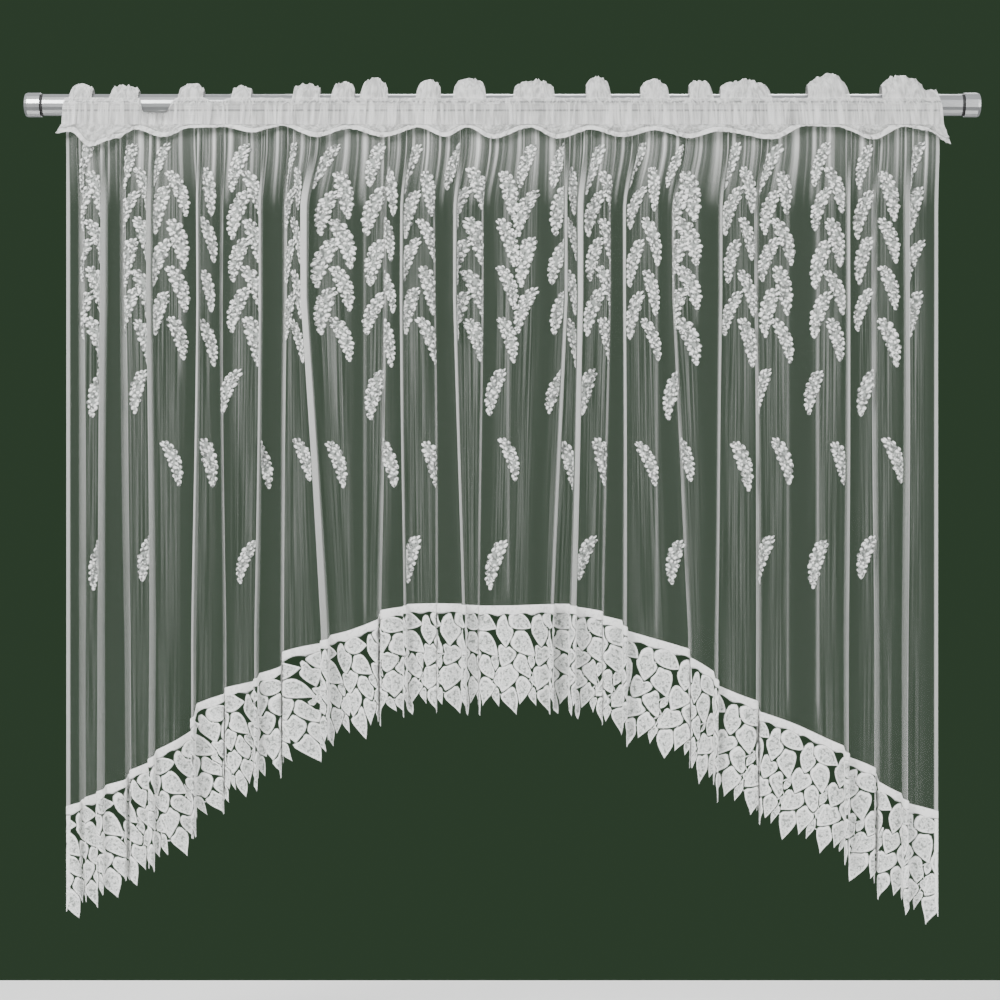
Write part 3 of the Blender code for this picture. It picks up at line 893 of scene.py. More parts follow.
@dataclass
class HungCloth:
    """How the curtain hangs: standing folds below, and gathers under the heading."""

    left: float = -0.785
    right: float = 0.784
    gather_left: float = -0.789
    gather_right: float = 0.789
    top: float = -0.030
    gather_spread: float = 0.3
    gather_depth: float = 0.0065
    gather_depth_at_seam: float = 0.0015
    fine_gather: float = 0.0022
    fine_gather_length: float = 0.034
    gathers_open: float = -0.085
    gathers_end: float = -0.260
    folds_begin: float = -0.065
    folds_full: float = -0.190
    drift_begins: float = -0.350
    drift_full: float = -0.950
    wide_flat: float = 0.055
    flat_wave: float = 0.007
    crest_share: float = 0.8
    level_step: float = 0.010
    lowest: float = -1.50
    grid_step: float = 0.0015
    rounding: float = 0.006
    sway: float = 0.0016
    sway_waves: tuple[Range, ...] = ((5.0, 9.0), (2.0, 23.0))
    edge_rest: float = 0.05
    gather_bend: float = 0.6
    gather_bends: float = 40.0
    facing_reach: float = 0.002
    columns: list[Column] = field(default_factory=list)

    def __post_init__(self) -> None:
        """Works out the bending lines and the table of hung places."""
        self.columns = self.bending_lines()
        self.places = np.array([column.s for column in self.columns])
        self.width = float(self.places[-1])
        self.arch_line = [(self.flat_place(point.x, point.z), point.z) for point in ARCH]
        self.levels = np.arange(0.0, self.lowest - self.level_step, -self.level_step)
        self.grid = np.linspace(0.0, self.width, int(self.width / self.grid_step) + 1)
        tables = [self.level_table(float(z)) for z in self.levels]
        self.table_x = np.array([row[0] for row in tables])
        self.table_y = np.array([row[1] for row in tables])

    def fold_x(self, k: int, z: float) -> float:
        """The middle of the k-th fold at this height."""
        drift = (z - self.drift_begins) / (self.drift_full - self.drift_begins)
        return blend(FOLDS[k].x_high, FOLDS[k].x_low, min(1.0, max(0.0, drift)))

    def fold_edges(self, k: int, z: float) -> tuple[float, float]:
        """The left and right edges of a fold's throat, or the net's side edges past the last fold."""
        if k < 0:
            return self.left, self.left
        if k >= len(FOLDS):
            return self.right, self.right
        x = self.fold_x(k, z)
        return x - FOLDS[k].throat / 2, x + FOLDS[k].throat / 2

    def bending_lines(self) -> list[Column]:
        """Lists every bending line, from the left side edge to the right one.

        Returns:
            The lines, in order of their place on the flat cloth.
        """
        columns = [Column(0.0, 1.0, -1, 0.0, 0.0, 0.0, 0.0)]
        s = 0.0
        for k in range(-1, len(FOLDS)):
            heights = (self.drift_begins, self.drift_full)
            flat = sum(self.fold_edges(k + 1, z)[0] - self.fold_edges(k, z)[1] for z in heights) / 2
            before = columns[-1].gather_side
            last = k + 1 == len(FOLDS)
            after = -before if last else math.copysign(1.0, -FOLDS[k + 1].depth)
            if flat > self.wide_flat:
                side = -before if before == after else 0.0
                columns.append(Column(s + flat / 2, side, k, 0.0, 0.0, 0.5, self.flat_wave * (-1) ** k))
            s += flat
            if last:
                columns.append(Column(s, after, k, 0.0, 0.0, 1.0, 0.0))
                break
            fold, reach = FOLDS[k + 1], abs(FOLDS[k + 1].depth)
            crest = self.crest_share
            columns.append(Column(s, after, k + 1, -1.0, 0.0, 0.0, 0.0))
            columns.append(Column(s + reach, -after, k + 1, -crest, 1.0, 0.0, 0.0))
            columns.append(Column(s + reach + fold.throat, -after, k + 1, crest, 1.0, 0.0, 0.0))
            s += 2 * reach + fold.throat
            columns.append(Column(s, after, k + 1, 1.0, 0.0, 0.0, 0.0))
        return columns

    def hung_column(self, column: Column, z: float) -> tuple[float, float]:
        """Where this bending line crosses this height, as (x, y)."""
        if column.share or column.fold < 0:
            left = self.fold_edges(column.fold, z)[1]
            right = self.fold_edges(column.fold + 1, z)[0]
            folded = blend(left, right, column.share), column.wave
        else:
            fold = FOLDS[column.fold]
            x = self.fold_x(column.fold, z) + column.offset * fold.throat / 2
            folded = x, column.stands * fold.depth
        opening = eased(z, self.top, self.gathers_open)
        depth = blend(self.gather_depth_at_seam, self.gather_depth, opening)
        even = blend(self.gather_left, self.gather_right, column.s / self.full_width())
        gathered = blend(folded[0], even, self.gather_spread), depth * column.gather_side
        share = eased(z, self.folds_begin, self.folds_full)
        return blend(gathered[0], folded[0], share), blend(gathered[1], folded[1], share)

    def full_width(self) -> float:
        """The flat width of the cloth."""
        return self.columns[-1].s

    def flat_place(self, x: float, z: float) -> float:
        """The place on the flat cloth that hangs at this x, leaving out what is hidden in the folds."""
        ends = []
        for a, b in zip(self.columns, self.columns[1:]):
            if not a.stands and not b.stands:
                ends.append((self.hung_column(a, z)[0], self.hung_column(b, z)[0], a.s, b.s))
        left, right, s_left, s_right = min(ends, key=lambda row: max(row[0] - x, x - row[1]))
        return blend(s_left, s_right, min(1.0, max(0.0, (x - left) / (right - left))))

    def arch_height(self, s: float) -> float:
        """The height of the net's lower edge at this flat place."""
        return cubic_through(self.arch_line, s)

    def arch_heights(self, places: np.ndarray) -> np.ndarray:
        """The height of the net's lower edge at each of these flat places."""
        return np.array([self.arch_height(float(s)) for s in places])

    def level_table(self, z: float) -> tuple[np.ndarray, np.ndarray]:
        """The hung x and y along the whole width at one height, with the bends rounded."""
        hung = [self.hung_column(column, z) for column in self.columns]
        x = np.interp(self.grid, self.places, [point[0] for point in hung])
        y = np.interp(self.grid, self.places, [point[1] for point in hung])
        half = max(1, round(self.rounding / 2 / self.grid_step))
        kernel = np.hanning(2 * half + 3)[1:-1]
        kernel /= kernel.sum()
        rounded = []
        for line in (x, y):
            wide = np.pad(line, half, mode="reflect", reflect_type="odd")
            rounded.append(np.convolve(wide, kernel, mode="valid"))
        drift = self.sway * eased(z, self.folds_begin, self.folds_full)
        for down, across in self.sway_waves:
            drift = drift * np.sin(down * z + across * self.grid)
        ends = np.minimum(1.0, np.minimum(self.grid, self.width - self.grid) / self.edge_rest)
        gathers = self.gather_wave(self.grid, z) * self.fine_gather
        return rounded[0] + drift * ends, rounded[1] + gathers * ends

    def gather_wave(self, s: np.ndarray, z: np.ndarray | float) -> np.ndarray:
        """The fine gathers under the heading, from -1 to 1, which fade out where the folds stand.

        Args:
            s: places along the width.
            z: their heights, or one height for all.

        Returns:
            The wave at each place.
        """
        bent = self.gather_bend * np.sin(s * self.gather_bends)
        return wander(s / self.fine_gather_length + bent, 0.7) * ramp(z, self.gathers_end, self.gathers_open)

    def hang(self, s: np.ndarray, z: np.ndarray, lift: np.ndarray | float = 0.0) -> np.ndarray:
        """Hangs points of the flat cloth.

        Args:
            s: their places along the width.
            z: their heights.
            lift: how far each stands out from the cloth, towards its front side.

        Returns:
            One row of x, y and z for each point.
        """
        s, z = np.asarray(s, float), np.asarray(z, float)
        row = np.clip(-z / self.level_step, 0, len(self.levels) - 1.001)
        column = np.clip(s / self.width, 0, 1) * (len(self.grid) - 1.001)
        r, c = row.astype(int), column.astype(int)
        u, v = row - r, column - c

        def read(table: np.ndarray) -> tuple[np.ndarray, np.ndarray]:
            """The table's value at each point, and its slope along the width."""
            low = table[r, c] * (1 - u) + table[r + 1, c] * u
            high = table[r, c + 1] * (1 - u) + table[r + 1, c + 1] * u
            return low * (1 - v) + high * v, high - low

        x, run = read(self.table_x)
        y, rise = read(self.table_y)
        length = np.maximum(np.hypot(run, rise), LEAST_LENGTH)
        return np.stack([x + lift * rise / length, y - lift * run / length, z], axis=1)

    def facing(self, s: np.ndarray, z: np.ndarray) -> np.ndarray:
        """How squarely each point of the cloth faces the front: 1 flat on, 0 edge on."""
        a, b = self.hang(s - self.facing_reach, z), self.hang(s + self.facing_reach, z)
        across = np.abs(b[:, 0] - a[:, 0])
        return across / np.maximum(np.hypot(across, b[:, 1] - a[:, 1]), LEAST_LENGTH)


class Piece:
    """Turns points and faces into a dressed object of the scene."""

    @staticmethod
    def mesh_object(name: str, points: np.ndarray, faces: Iterable[Sequence[int]]) -> bpy.types.Object:
        """Makes an object at the origin with its place in its mesh.

        Args:
            name: the object's name.
            points: one row of x, y and z for each point.
            faces: the point numbers of each face.

        Returns:
            The new object, shaded smooth.
        """
        mesh = bpy.data.meshes.new(name)
        mesh.from_pydata(np.asarray(points).tolist(), [], [tuple(int(i) for i in face) for face in faces])
        mesh.polygons.foreach_set("use_smooth", np.ones(len(mesh.polygons), bool))
        mesh.update()
        made = bpy.data.objects.new(name, mesh)
        bpy.context.scene.collection.objects.link(made)
        return made

    @staticmethod
    def attribute(piece: bpy.types.Object, name: str, values: np.ndarray) -> None:
        """Gives each point of the piece a value under this name."""
        made = piece.data.attributes.new(name, "FLOAT", "POINT")
        made.data.foreach_set("value", np.asarray(values, np.float32))

    @staticmethod
    def flat_map(piece: bpy.types.Object, u: np.ndarray, v: np.ndarray) -> None:
        """Gives the piece the map of its flat cloth, from 0 to 1 each way."""
        layer = piece.data.uv_layers.new(name=UV_NAME)
        corners = np.empty(len(piece.data.loops), np.int32)
        piece.data.loops.foreach_get("vertex_index", corners)
        layer.data.foreach_set("uv", np.stack([u[corners], v[corners]], axis=1).astype(np.float32).ravel())

    @staticmethod
    def finish(piece: bpy.types.Object, material: bpy.types.Material, slot: str, *nodes: str) -> None:
        """Dresses the piece, lets it ride on the part and stand for its CAD nodes."""
        piece.data.materials.clear()
        piece.data.materials.append(material)
        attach(piece, "root")
        if nodes:
            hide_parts(*nodes)
        log.info("%s: %d faces", piece.name, len(piece.data.polygons))


@dataclass
class NetPanel:
    """The sheer net."""

    cloth: HungCloth
    columns_apart: float = 0.0026
    upper_rows: tuple[float, ...] = (
        -0.030, -0.038, -0.047, -0.056, -0.066, -0.077, -0.089, -0.102, -0.116, -0.131,
        -0.147, -0.164, -0.182, -0.201, -0.221, -0.245, -0.270, -0.300, -0.325, -0.350,
    )
    lower_rows: int = 26
    clear_cover: float = 0.024
    most_cover: float = 0.88
    least_facing: float = 0.12
    edge_hem: float = 0.006
    edge_cover: float = 0.45
    gathered_cover: float = 0.06
    streaks_full: float = -0.075
    streaks_end: float = -0.185
    streaks_vary: float = 2.3
    streaks_shift: float = 0.22
    streaks_uneven: float = 0.3
    fold_margin: float = 0.004
    fold_fades: Range = (-0.35, -0.95)
    fold_fade: float = 0.45
    crease_half: float = 0.0022
    crease_ends: float = 0.05
    thread_top: float = 0.04
    thread_half: float = 0.013
    thread_haze: float = 0.10
    most_haze: float = 0.38
    haze_fades: Range = (-0.35, -0.85)
    haze_fade: float = 0.55

    def streaks(self, s: np.ndarray) -> np.ndarray:
        """How much light the gathered net's streaks stop at each place along its width."""
        total = np.zeros(len(s))
        for streak in STREAKS:
            place = s / streak.apart
            uneven = wander(place / self.streaks_vary, streak.thin)
            away = np.abs(np.sin(math.pi * (place + self.streaks_shift * uneven)))
            strength = 1 + self.streaks_uneven * (uneven - 1)
            total += streak.cover * np.clip(1 - streak.thin * away, 0, 1) * strength
        return total

    def cover(self, s: np.ndarray, z: np.ndarray) -> np.ndarray:
        """How much of the light each point of the net stops: more where it is folded or gathered."""
        cloth = self.cloth
        facing = np.maximum(cloth.facing(s, z), self.least_facing)
        covered = 1 - (1 - self.clear_cover) ** (1 / facing)
        settled = np.array([eased(float(v), cloth.folds_begin, cloth.folds_full) for v in z])
        covered = np.maximum(covered, self.gathered_cover * (1 - settled) + self.clear_cover)
        covered += self.streaks(s) * ramp(z, self.streaks_end, self.streaks_full)
        shown = settled * (1 - self.fold_fade * ramp(z, *self.fold_fades))
        for k, fold in enumerate(FOLDS):
            lines = [column.s for column in cloth.columns if column.fold == k and column.stands]
            inside = (s > lines[0] - self.fold_margin) & (s < lines[1] + self.fold_margin)
            covered = np.where(inside, np.maximum(covered, fold.cover * shown), covered)
        hung_x = cloth.hang(s, z)[:, 0]
        for crease in CREASES:
            run = ramp(z, crease.z_top, crease.z_top - self.crease_ends)
            run = run * ramp(z, crease.z_bottom, crease.z_bottom + self.crease_ends)
            covered += crease.cover * run * np.exp(-(((hung_x - crease.x) / self.crease_half) ** 2))
        hem = (s < self.edge_hem) | (s > cloth.width - self.edge_hem)
        return np.clip(np.where(hem, self.edge_cover, covered), 0.0, self.most_cover)

    def haze(self, s: np.ndarray, z: np.ndarray) -> np.ndarray:
        """How thick the fine upright threads are at each point: they run down from the spikes."""
        total = np.zeros(len(s))
        for row in PAIRED_ROWS:
            for x in row.places:
                middle = self.cloth.flat_place(x, row.top - self.thread_top)
                total += self.thread_haze * np.exp(-(((s - middle) / self.thread_half) ** 2))
        return np.clip(total, 0, self.most_haze) * (1 - self.haze_fade * ramp(z, *self.haze_fades))

    def build(self, finish: NetFinish) -> bpy.types.Object:
        """Hangs and dresses the net.

        Args:
            finish: the net's finish.

        Returns:
            The net.
        """
        cloth = self.cloth
        across = round(cloth.width / self.columns_apart)
        s = np.unique(np.concatenate([np.linspace(0.0, cloth.width, across + 1), cloth.places]))
        foot = cloth.arch_heights(s)
        rows = [np.full(len(s), z) for z in self.upper_rows]
        for k in range(1, self.lower_rows + 1):
            rows.append(self.upper_rows[-1] + (foot - self.upper_rows[-1]) * k / self.lower_rows)
        flat_s, flat_z = np.tile(s, len(rows)), np.concatenate(rows)
        wide = len(s)
        faces = [
            (r * wide + c, (r + 1) * wide + c, (r + 1) * wide + c + 1, r * wide + c + 1)
            for r in range(len(rows) - 1)
            for c in range(wide - 1)
        ]
        piece = Piece.mesh_object("sheer_net_panel", cloth.hang(flat_s, flat_z), faces)
        Piece.attribute(piece, "cover", self.cover(flat_s, flat_z))
        Piece.attribute(piece, "haze", self.haze(flat_s, flat_z))
        drop = finish.flat_size[1]
        Piece.flat_map(piece, flat_s / cloth.width, 1 + (flat_z - cloth.top) / drop)
        Piece.finish(piece, finish.build(), finish.slot, "net_panel")
        return piece


@dataclass
class WovenSpikes:
    """The thick leaf spikes woven into the net, each of small round lobes along a midrib."""

    cloth: HungCloth
    length: float = 0.083
    width: float = 0.028
    lean: float = 0.022
    bow: float = 0.26
    apart: float = 0.004
    blunt_top: float = 0.17
    widest_up: float = 0.85
    inner_share: float = 0.72
    fullness: float = 0.75
    lobes_a_side: int = 8
    first_lobe: float = 0.10
    last_lobe: float = 0.91
    tip_shrink: float = 0.45
    lobe_vary: float = 0.20
    side_stagger: float = 0.018
    lobe_scatter: float = 0.014
    inner_lower: float = 0.045
    inner_size: float = 0.86
    kinds: int = 4
    lobe_length: float = 0.0047
    lobe_width: float = 0.0038
    lobe_height: float = 0.0024
    lobe_foot: float = 0.0006
    dome_rings: tuple[Range, ...] = ((1.0, 0.0), (0.86, 0.58), (0.45, 0.93))
    ring: int = 8
    backing_steps: int = 8
    backing_rise: float = 0.0012
    # The ridge values set where the spikes' finish paints shade: low on the flat backing, rising up each
    # lobe.
    backing_ridge: float = 0.10
    lobe_ridge: float = 0.9
    edge_margin: float = 0.004
    uneven_tilt: float = 0.25
    uneven_size: float = 0.07
    uneven_top: float = 0.004

    def half_width(self, t: float) -> float:
        """The spike's half width at this share of its length, without its lobes' own size."""
        place = self.blunt_top + (1 - self.blunt_top) * max(t, 0.0) ** self.widest_up
        return self.width / 2 * self.inner_share * math.sin(math.pi * min(1.0, place)) ** self.fullness

    def lobes(self, kind: int) -> list[Lobe]:
        """The lobes of one upright spike.

        Args:
            kind: which of the unlike spikes this is.

        Returns:
            The lobes: two at the top, one at the tip, and an outer and an inner row down each side.
        """
        found = list(END_LOBES)
        for k in range(self.lobes_a_side):
            t = blend(self.first_lobe, self.last_lobe, k / (self.lobes_a_side - 1))
            for side in (-1, 1):
                uneven = math.sin(2.9 * k + 1.9 * side + 2.2 * kind)
                other = math.sin(4.3 * k + 2.6 * side + 1.4 * kind)
                size = (1.0 - self.tip_shrink * max(0.0, t - 0.5)) * (1 + self.lobe_vary * uneven)
                down = t + self.side_stagger * side + self.lobe_scatter * other
                out, turn = side * self.half_width(down), side * (0.55 + 0.6 * other)
                found.append(Lobe(out, down, turn, size, 1 + 0.3 * uneven))
                inner, lower = out * (0.40 + 0.18 * other), down + self.inner_lower + 0.018 * uneven
                found.append(Lobe(inner, lower, 1.5 * other, self.inner_size * size, 0.6 + 0.2 * uneven))
        return found

    def dome(self) -> tuple[np.ndarray, list[tuple[int, ...]]]:
        """One lobe of unit size: its points as (across, along, up), and its faces."""
        points = []
        for radius, up in self.dome_rings:
            for k in range(self.ring):
                turn = math.tau * k / self.ring
                points.append((radius * math.cos(turn), radius * math.sin(turn), up))
        points.append((0.0, 0.0, 1.0))
        faces = []
        top = (len(self.dome_rings) - 1) * self.ring
        for level in range(0, top, self.ring):
            for k in range(self.ring):
                a, b = level + k, level + (k + 1) % self.ring
                faces.append((a, b, b + self.ring, a + self.ring))
        faces += [(top + k, top + (k + 1) % self.ring, top + self.ring) for k in range(self.ring)]
        return np.array(points), faces

    def backing(self) -> tuple[np.ndarray, list[tuple[int, ...]]]:
        """The flat yarn body under the lobes: its points as (across, down, up), and its faces."""
        points = []
        for t in np.linspace(0.0, 1.0, self.backing_steps + 1):
            half = self.half_width(float(t)) if 0 < t < 1 else 0.001
            points += [(-half, t, 0.0), (0.0, t, self.backing_rise), (half, t, 0.0)]
        faces = []
        for k in range(self.backing_steps):
            for side in (0, 1):
                a = 3 * k + side
                faces.append((a, a + 3, a + 4, a + 1))
        return np.array(points), faces

    def one_spike(self, kind: int) -> tuple[np.ndarray, list[tuple[int, ...]], np.ndarray]:
        """Models one spike.

        Args:
            kind: which of the unlike spikes this is.

        Returns:
            Its points as (across in metres, share of the length down, height), its faces, and the
            ridge value of each point.
        """
        dome, dome_faces = self.dome()
        body, body_faces = self.backing()
        points, faces, ridge = [body], list(body_faces), [np.full(len(body), self.backing_ridge)]
        count = len(body)
        for lobe in self.lobes(kind):
            a = dome[:, 0] * self.lobe_width * lobe.size
            b = dome[:, 1] * self.lobe_length * lobe.size
            turned_a = a * math.cos(lobe.turn) - b * math.sin(lobe.turn)
            turned_b = a * math.sin(lobe.turn) + b * math.cos(lobe.turn)
            up = self.lobe_foot + dome[:, 2] * self.lobe_height * lobe.height
            points.append(np.stack([lobe.across + turned_a, lobe.down + turned_b / self.length, up], axis=1))
            ridge.append(dome[:, 2] * self.lobe_ridge)
            faces += [tuple(i + count for i in face) for face in dome_faces]
            count += len(dome)
        return np.concatenate(points), faces, np.concatenate(ridge)

    def build(self, finish: SpikeFinish) -> bpy.types.Object:
        """Sets a spike at every place of the table and hangs them all with the net.

        Args:
            finish: the spikes' finish.

        Returns:
            All spikes as one piece.
        """
        kinds = [self.one_spike(kind) for kind in range(self.kinds)]
        points, faces, ridges, count, number = [], [], [], 0, 0
        for row in SPIKE_ROWS:
            aside = row.lean.value * self.apart if row in PAIRED_ROWS else 0.0
            for x in row.places:
                middle = self.cloth.flat_place(x, row.top - self.length / 2) + aside
                number += 1
                shape, shape_faces, ridge = kinds[number % self.kinds]
                tilt = row.lean.value * self.lean * (1 + self.uneven_tilt * math.sin(number * 2.4))
                size = 1 + self.uneven_size * math.sin(number * 1.7)
                down = shape[:, 1]
                curve = tilt * (down - 0.5) + self.bow * tilt * 4 * down * (1 - down)
                s = middle + curve + shape[:, 0] * size
                z = row.top + self.uneven_top * math.sin(number * 3.1) - down * self.length * size
                if s.min() < self.edge_margin or s.max() > self.cloth.width - self.edge_margin:
                    continue
                points.append(self.cloth.hang(s, z, shape[:, 2]))
                faces += [tuple(i + count for i in face) for face in shape_faces]
                ridges.append(ridge)
                count += len(shape)
        piece = Piece.mesh_object("woven_spikes", np.concatenate(points), faces)
        Piece.attribute(piece, "ridge", np.concatenate(ridges))
        Piece.finish(piece, finish.build(), finish.slot)
        return piece


@dataclass
class PlacedLeaf:
    """A leaf of the lace in its place on the flat cloth."""

    centre: np.ndarray
    axis: np.ndarray
    length: float
    width: float
    form: LeafForm
    down: float
    heart_share: float = 0.10

    def __post_init__(self) -> None:
        """Works out the direction across the leaf, and its heart, from which its outline is drawn."""
        self.side = np.array([-self.axis[1], self.axis[0]])
        self.heart = self.centre + self.heart_share * self.length * self.axis

    def half_width(self, t: np.ndarray) -> np.ndarray:
        """The half width at these shares of the length."""
        lengthwise, fullness = self.form.value
        return self.width / 2 * np.sin(np.pi * np.clip(t, 0, 1) ** lengthwise) ** fullness

    def outline(self, count: int) -> np.ndarray:
        """A closed ring of points on the leaf's own outline, seen from its heart."""
        turns = np.linspace(0.0, math.tau, count, endpoint=False)
        t = 0.5 - 0.5 * np.cos(turns)
        across = np.sign(np.sin(turns)) * self.half_width(t)
        along = (t - 0.5 - self.heart_share) * self.length
        return along[:, None] * self.axis + across[:, None] * self.side

    def covers(self, points: np.ndarray, margin: np.ndarray) -> np.ndarray:
        """Whether each point lies on the leaf, or past its outline by less than the margin."""
        away = points - self.centre
        t = (away @ self.axis) / (self.length + 2 * margin) + 0.5
        return (t > 0) & (t < 1) & (np.abs(away @ self.side) < self.half_width(t) + margin)


@dataclass
class FlatSheet:
    """Cloth laid out flat, before it hangs: its points, their heights and masks, and its faces."""

    flat: list[np.ndarray] = field(default_factory=list)
    lift: list[np.ndarray] = field(default_factory=list)
    ridge: list[np.ndarray] = field(default_factory=list)
    groove_shade: list[np.ndarray] = field(default_factory=list)
    faces: list[tuple[int, ...]] = field(default_factory=list)
    count: int = 0

    def row(self, s: np.ndarray, z: np.ndarray, like: LeafRing, layer: float = 0.0) -> range:
        """Adds a row of points, with its height and masks like these, and returns the points' numbers."""
        wide = len(s)
        self.flat.append(np.stack([s, z], axis=1))
        self.lift.append(np.full(wide, like.lift + layer))
        self.ridge.append(np.full(wide, like.ridge))
        self.groove_shade.append(np.full(wide, like.groove_shade))
        self.count += wide
        return range(self.count - wide, self.count)

    def strips(self, rows: Sequence[range], closed: bool = False) -> None:
        """Adds the faces between each row and the next, which has as many points."""
        for first, second in zip(rows, rows[1:]):
            wide = len(first)
            for k in range(wide if closed else wide - 1):
                beside = (k + 1) % wide
                self.faces.append((first[k], second[k], second[beside], first[beside]))

    def fan(self, centre: np.ndarray, ring: range, like: LeafRing) -> None:
        """Closes a ring with triangles to its centre."""
        middle = self.row(centre[:1], centre[1:], like)[0]
        self.faces += [(middle, ring[k], ring[(k + 1) % len(ring)]) for k in range(len(ring))]

    def trim(self, width: float) -> None:
        """Brings every point that lies past a side edge of the cloth onto that edge."""
        for points in self.flat:
            points[:, 0] = np.clip(points[:, 0], 0.0, width)

    def join(self, other: "FlatSheet") -> None:
        """Takes in the points and faces of another sheet."""
        self.faces += [tuple(k + self.count for k in face) for face in other.faces]
        self.flat += other.flat
        self.lift += other.lift
        self.ridge += other.ridge
        self.groove_shade += other.groove_shade
        self.count += other.count

    def arrays(self) -> tuple[np.ndarray, np.ndarray, np.ndarray, np.ndarray]:
        """The flat points, and their heights, cord masks and masks of painted groove shade."""
        return tuple(np.concatenate(part) for part in (self.flat, self.lift, self.ridge, self.groove_shade))

    def area(self) -> float:
        """The area of all faces, laid flat."""
        flat = np.concatenate(self.flat)
        total = 0.0
        for corners in (3, 4):
            faces = np.array([face for face in self.faces if len(face) == corners])
            s, z = flat[faces, 0], flat[faces, 1]
            after = np.roll(s, -1, axis=1) * z - s * np.roll(z, -1, axis=1)
            total += float(np.abs(after.sum(axis=1)).sum() / 2)
        return total


@dataclass
class LaceBorder:
    """The leaf lace along the arch: a plain band on top, then leaves with open gaps between them."""

    cloth: HungCloth
    pitch: float = 0.067
    depth: float = 0.189
    band: float = 0.017
    band_step: float = 0.003
    band_lift: float = 0.0012
    scallop: float = 0.12
    overlap: float = 0.001
    run_on: float = 0.25
    step: float = 0.010
    turn: float = 0.060
    edge_reach: float = 0.010
    edge_width: float = 0.007
    edge_taper: float = 7.0
    edge_tip: float = 1.02
    edge_steps: int = 24
    uneven_turn: float = 9.0
    uneven_size: float = 0.05
    uneven_slit: float = 0.9
    uneven_outline: float = 0.035
    least_share: float = 0.2
    share_steps: int = 40
    ring_points: int = 26
    longer: float = 1.36
    wider: float = 1.28
    slit: float = 0.0009
    near: float = 0.075
    bar_reach: float = 0.034
    bar_width: float = 0.0022
    bar_steps: int = 6

    def __post_init__(self) -> None:
        """Measures the arch line and the direction that the lace hangs in along it."""
        count = int((self.cloth.width + 2 * self.run_on) / self.step)
        s = -self.run_on + np.arange(count + 1) * self.step
        z = self.cloth.arch_heights(s)
        self.line = np.stack([s, z], axis=1)
        self.lengths = np.concatenate([[0.0], np.cumsum(np.hypot(np.diff(s), np.diff(z)))])

    def on_line(self, a: float) -> np.ndarray:
        """The flat point this far along the arch."""
        return np.array([np.interp(a, self.lengths, self.line[:, k]) for k in (0, 1)])

    def frame_at(self, a: float, b: float) -> tuple[np.ndarray, np.ndarray, np.ndarray]:
        """The flat point this far along and down, with the directions along the arch and down from it."""
        ahead, behind = self.on_line(a + self.turn), self.on_line(a - self.turn)
        along = (ahead - behind) / np.linalg.norm(ahead - behind)
        down = np.array([along[1], -along[0]])
        return self.on_line(a) + b * down, along, down

    def leaves(self) -> list[PlacedLeaf]:
        """Every leaf of the border, in its place."""
        placed = []
        number = 0
        for k in range(int(self.lengths[-1] / self.pitch)):
            for leaf in LACE_REPEAT:
                number += 1
                centre, along, down = self.frame_at((k + leaf.along) * self.pitch, leaf.down * self.depth)
                if not -self.edge_reach < centre[0] < self.cloth.width + self.edge_reach:
                    continue
                angle = math.radians(leaf.turn + self.uneven_turn * math.sin(number * 2.3))
                size = 1 + self.uneven_size * math.sin(number * 1.9)
                axis = math.cos(angle) * along + math.sin(angle) * down
                length, width = leaf.length * size * self.longer, leaf.width * size * self.wider
                placed.append(PlacedLeaf(centre, axis, length, width, leaf.form, leaf.down))
        return placed

    def band_sheet(self) -> FlatSheet:
        """The plain band along the arch, its lower edge gently scalloped."""
        stations = round(self.cloth.width / self.band_step)
        s = np.linspace(0.0, self.cloth.width, stations + 1)
        top = self.cloth.arch_heights(s) + self.overlap
        sheet = FlatSheet()
        rows = []
        for row in BAND_ROWS:
            scallop = 1 + self.scallop * row.scale**4 * np.sin(s * math.tau * 2 / self.pitch)
            rows.append(sheet.row(s, top - row.scale * self.band * scallop, row, self.band_lift))
        sheet.strips(rows)
        return sheet

    def edge_sheet(self) -> FlatSheet:
        """The narrow woven edge down each end of the lace, which ends in a tip."""
        sheet = FlatSheet()
        share = np.linspace(0.0, 1.0, self.edge_steps + 1)
        wide = self.edge_width * np.minimum(1.0, (self.edge_tip - share) * self.edge_taper)
        for end, inwards in ((0.0, 1.0), (self.cloth.width, -1.0)):
            z = self.cloth.arch_height(end) - self.depth * share
            sheet.strips([sheet.row(end + inwards * wide * row.scale, z, row) for row in EDGE_ROWS])
        return sheet

    def fitted_outline(self, leaf: PlacedLeaf, number: int, beside: list[PlacedLeaf]) -> np.ndarray:
        """The leaf's outline, held back where a leaf above hangs over it, so that thin slits part them.

        Args:
            leaf: the leaf.
            number: its number, which makes its slits a little unlike the others'.
            beside: the leaves around it.

        Returns:
            A closed ring of points, seen from the leaf's heart.
        """
        outline = leaf.outline(self.ring_points)
        shares = np.linspace(self.least_share, 1.0, self.share_steps + 1)
        points = leaf.heart + shares[:, None, None] * outline
        turns = np.linspace(0.0, math.tau, self.ring_points, endpoint=False)
        uneven = np.sin(2 * turns + number * 1.3) * np.sin(3 * turns + number)
        slit = self.slit * (1 + self.uneven_slit * uneven)
        blocked = np.zeros(points.shape[:2], bool)
        for other in beside:
            if other.down < leaf.down:
                blocked |= other.covers(points, slit)
        blocked[-1] = True
        reach = shares[np.maximum(blocked.argmax(axis=0) - 1, 0)]
        reach = (np.roll(reach, 1) + 2 * reach + np.roll(reach, -1)) / 4
        reach *= 1 + self.uneven_outline * np.sin(4 * turns + number * 2.1)
        return outline * reach[:, None]

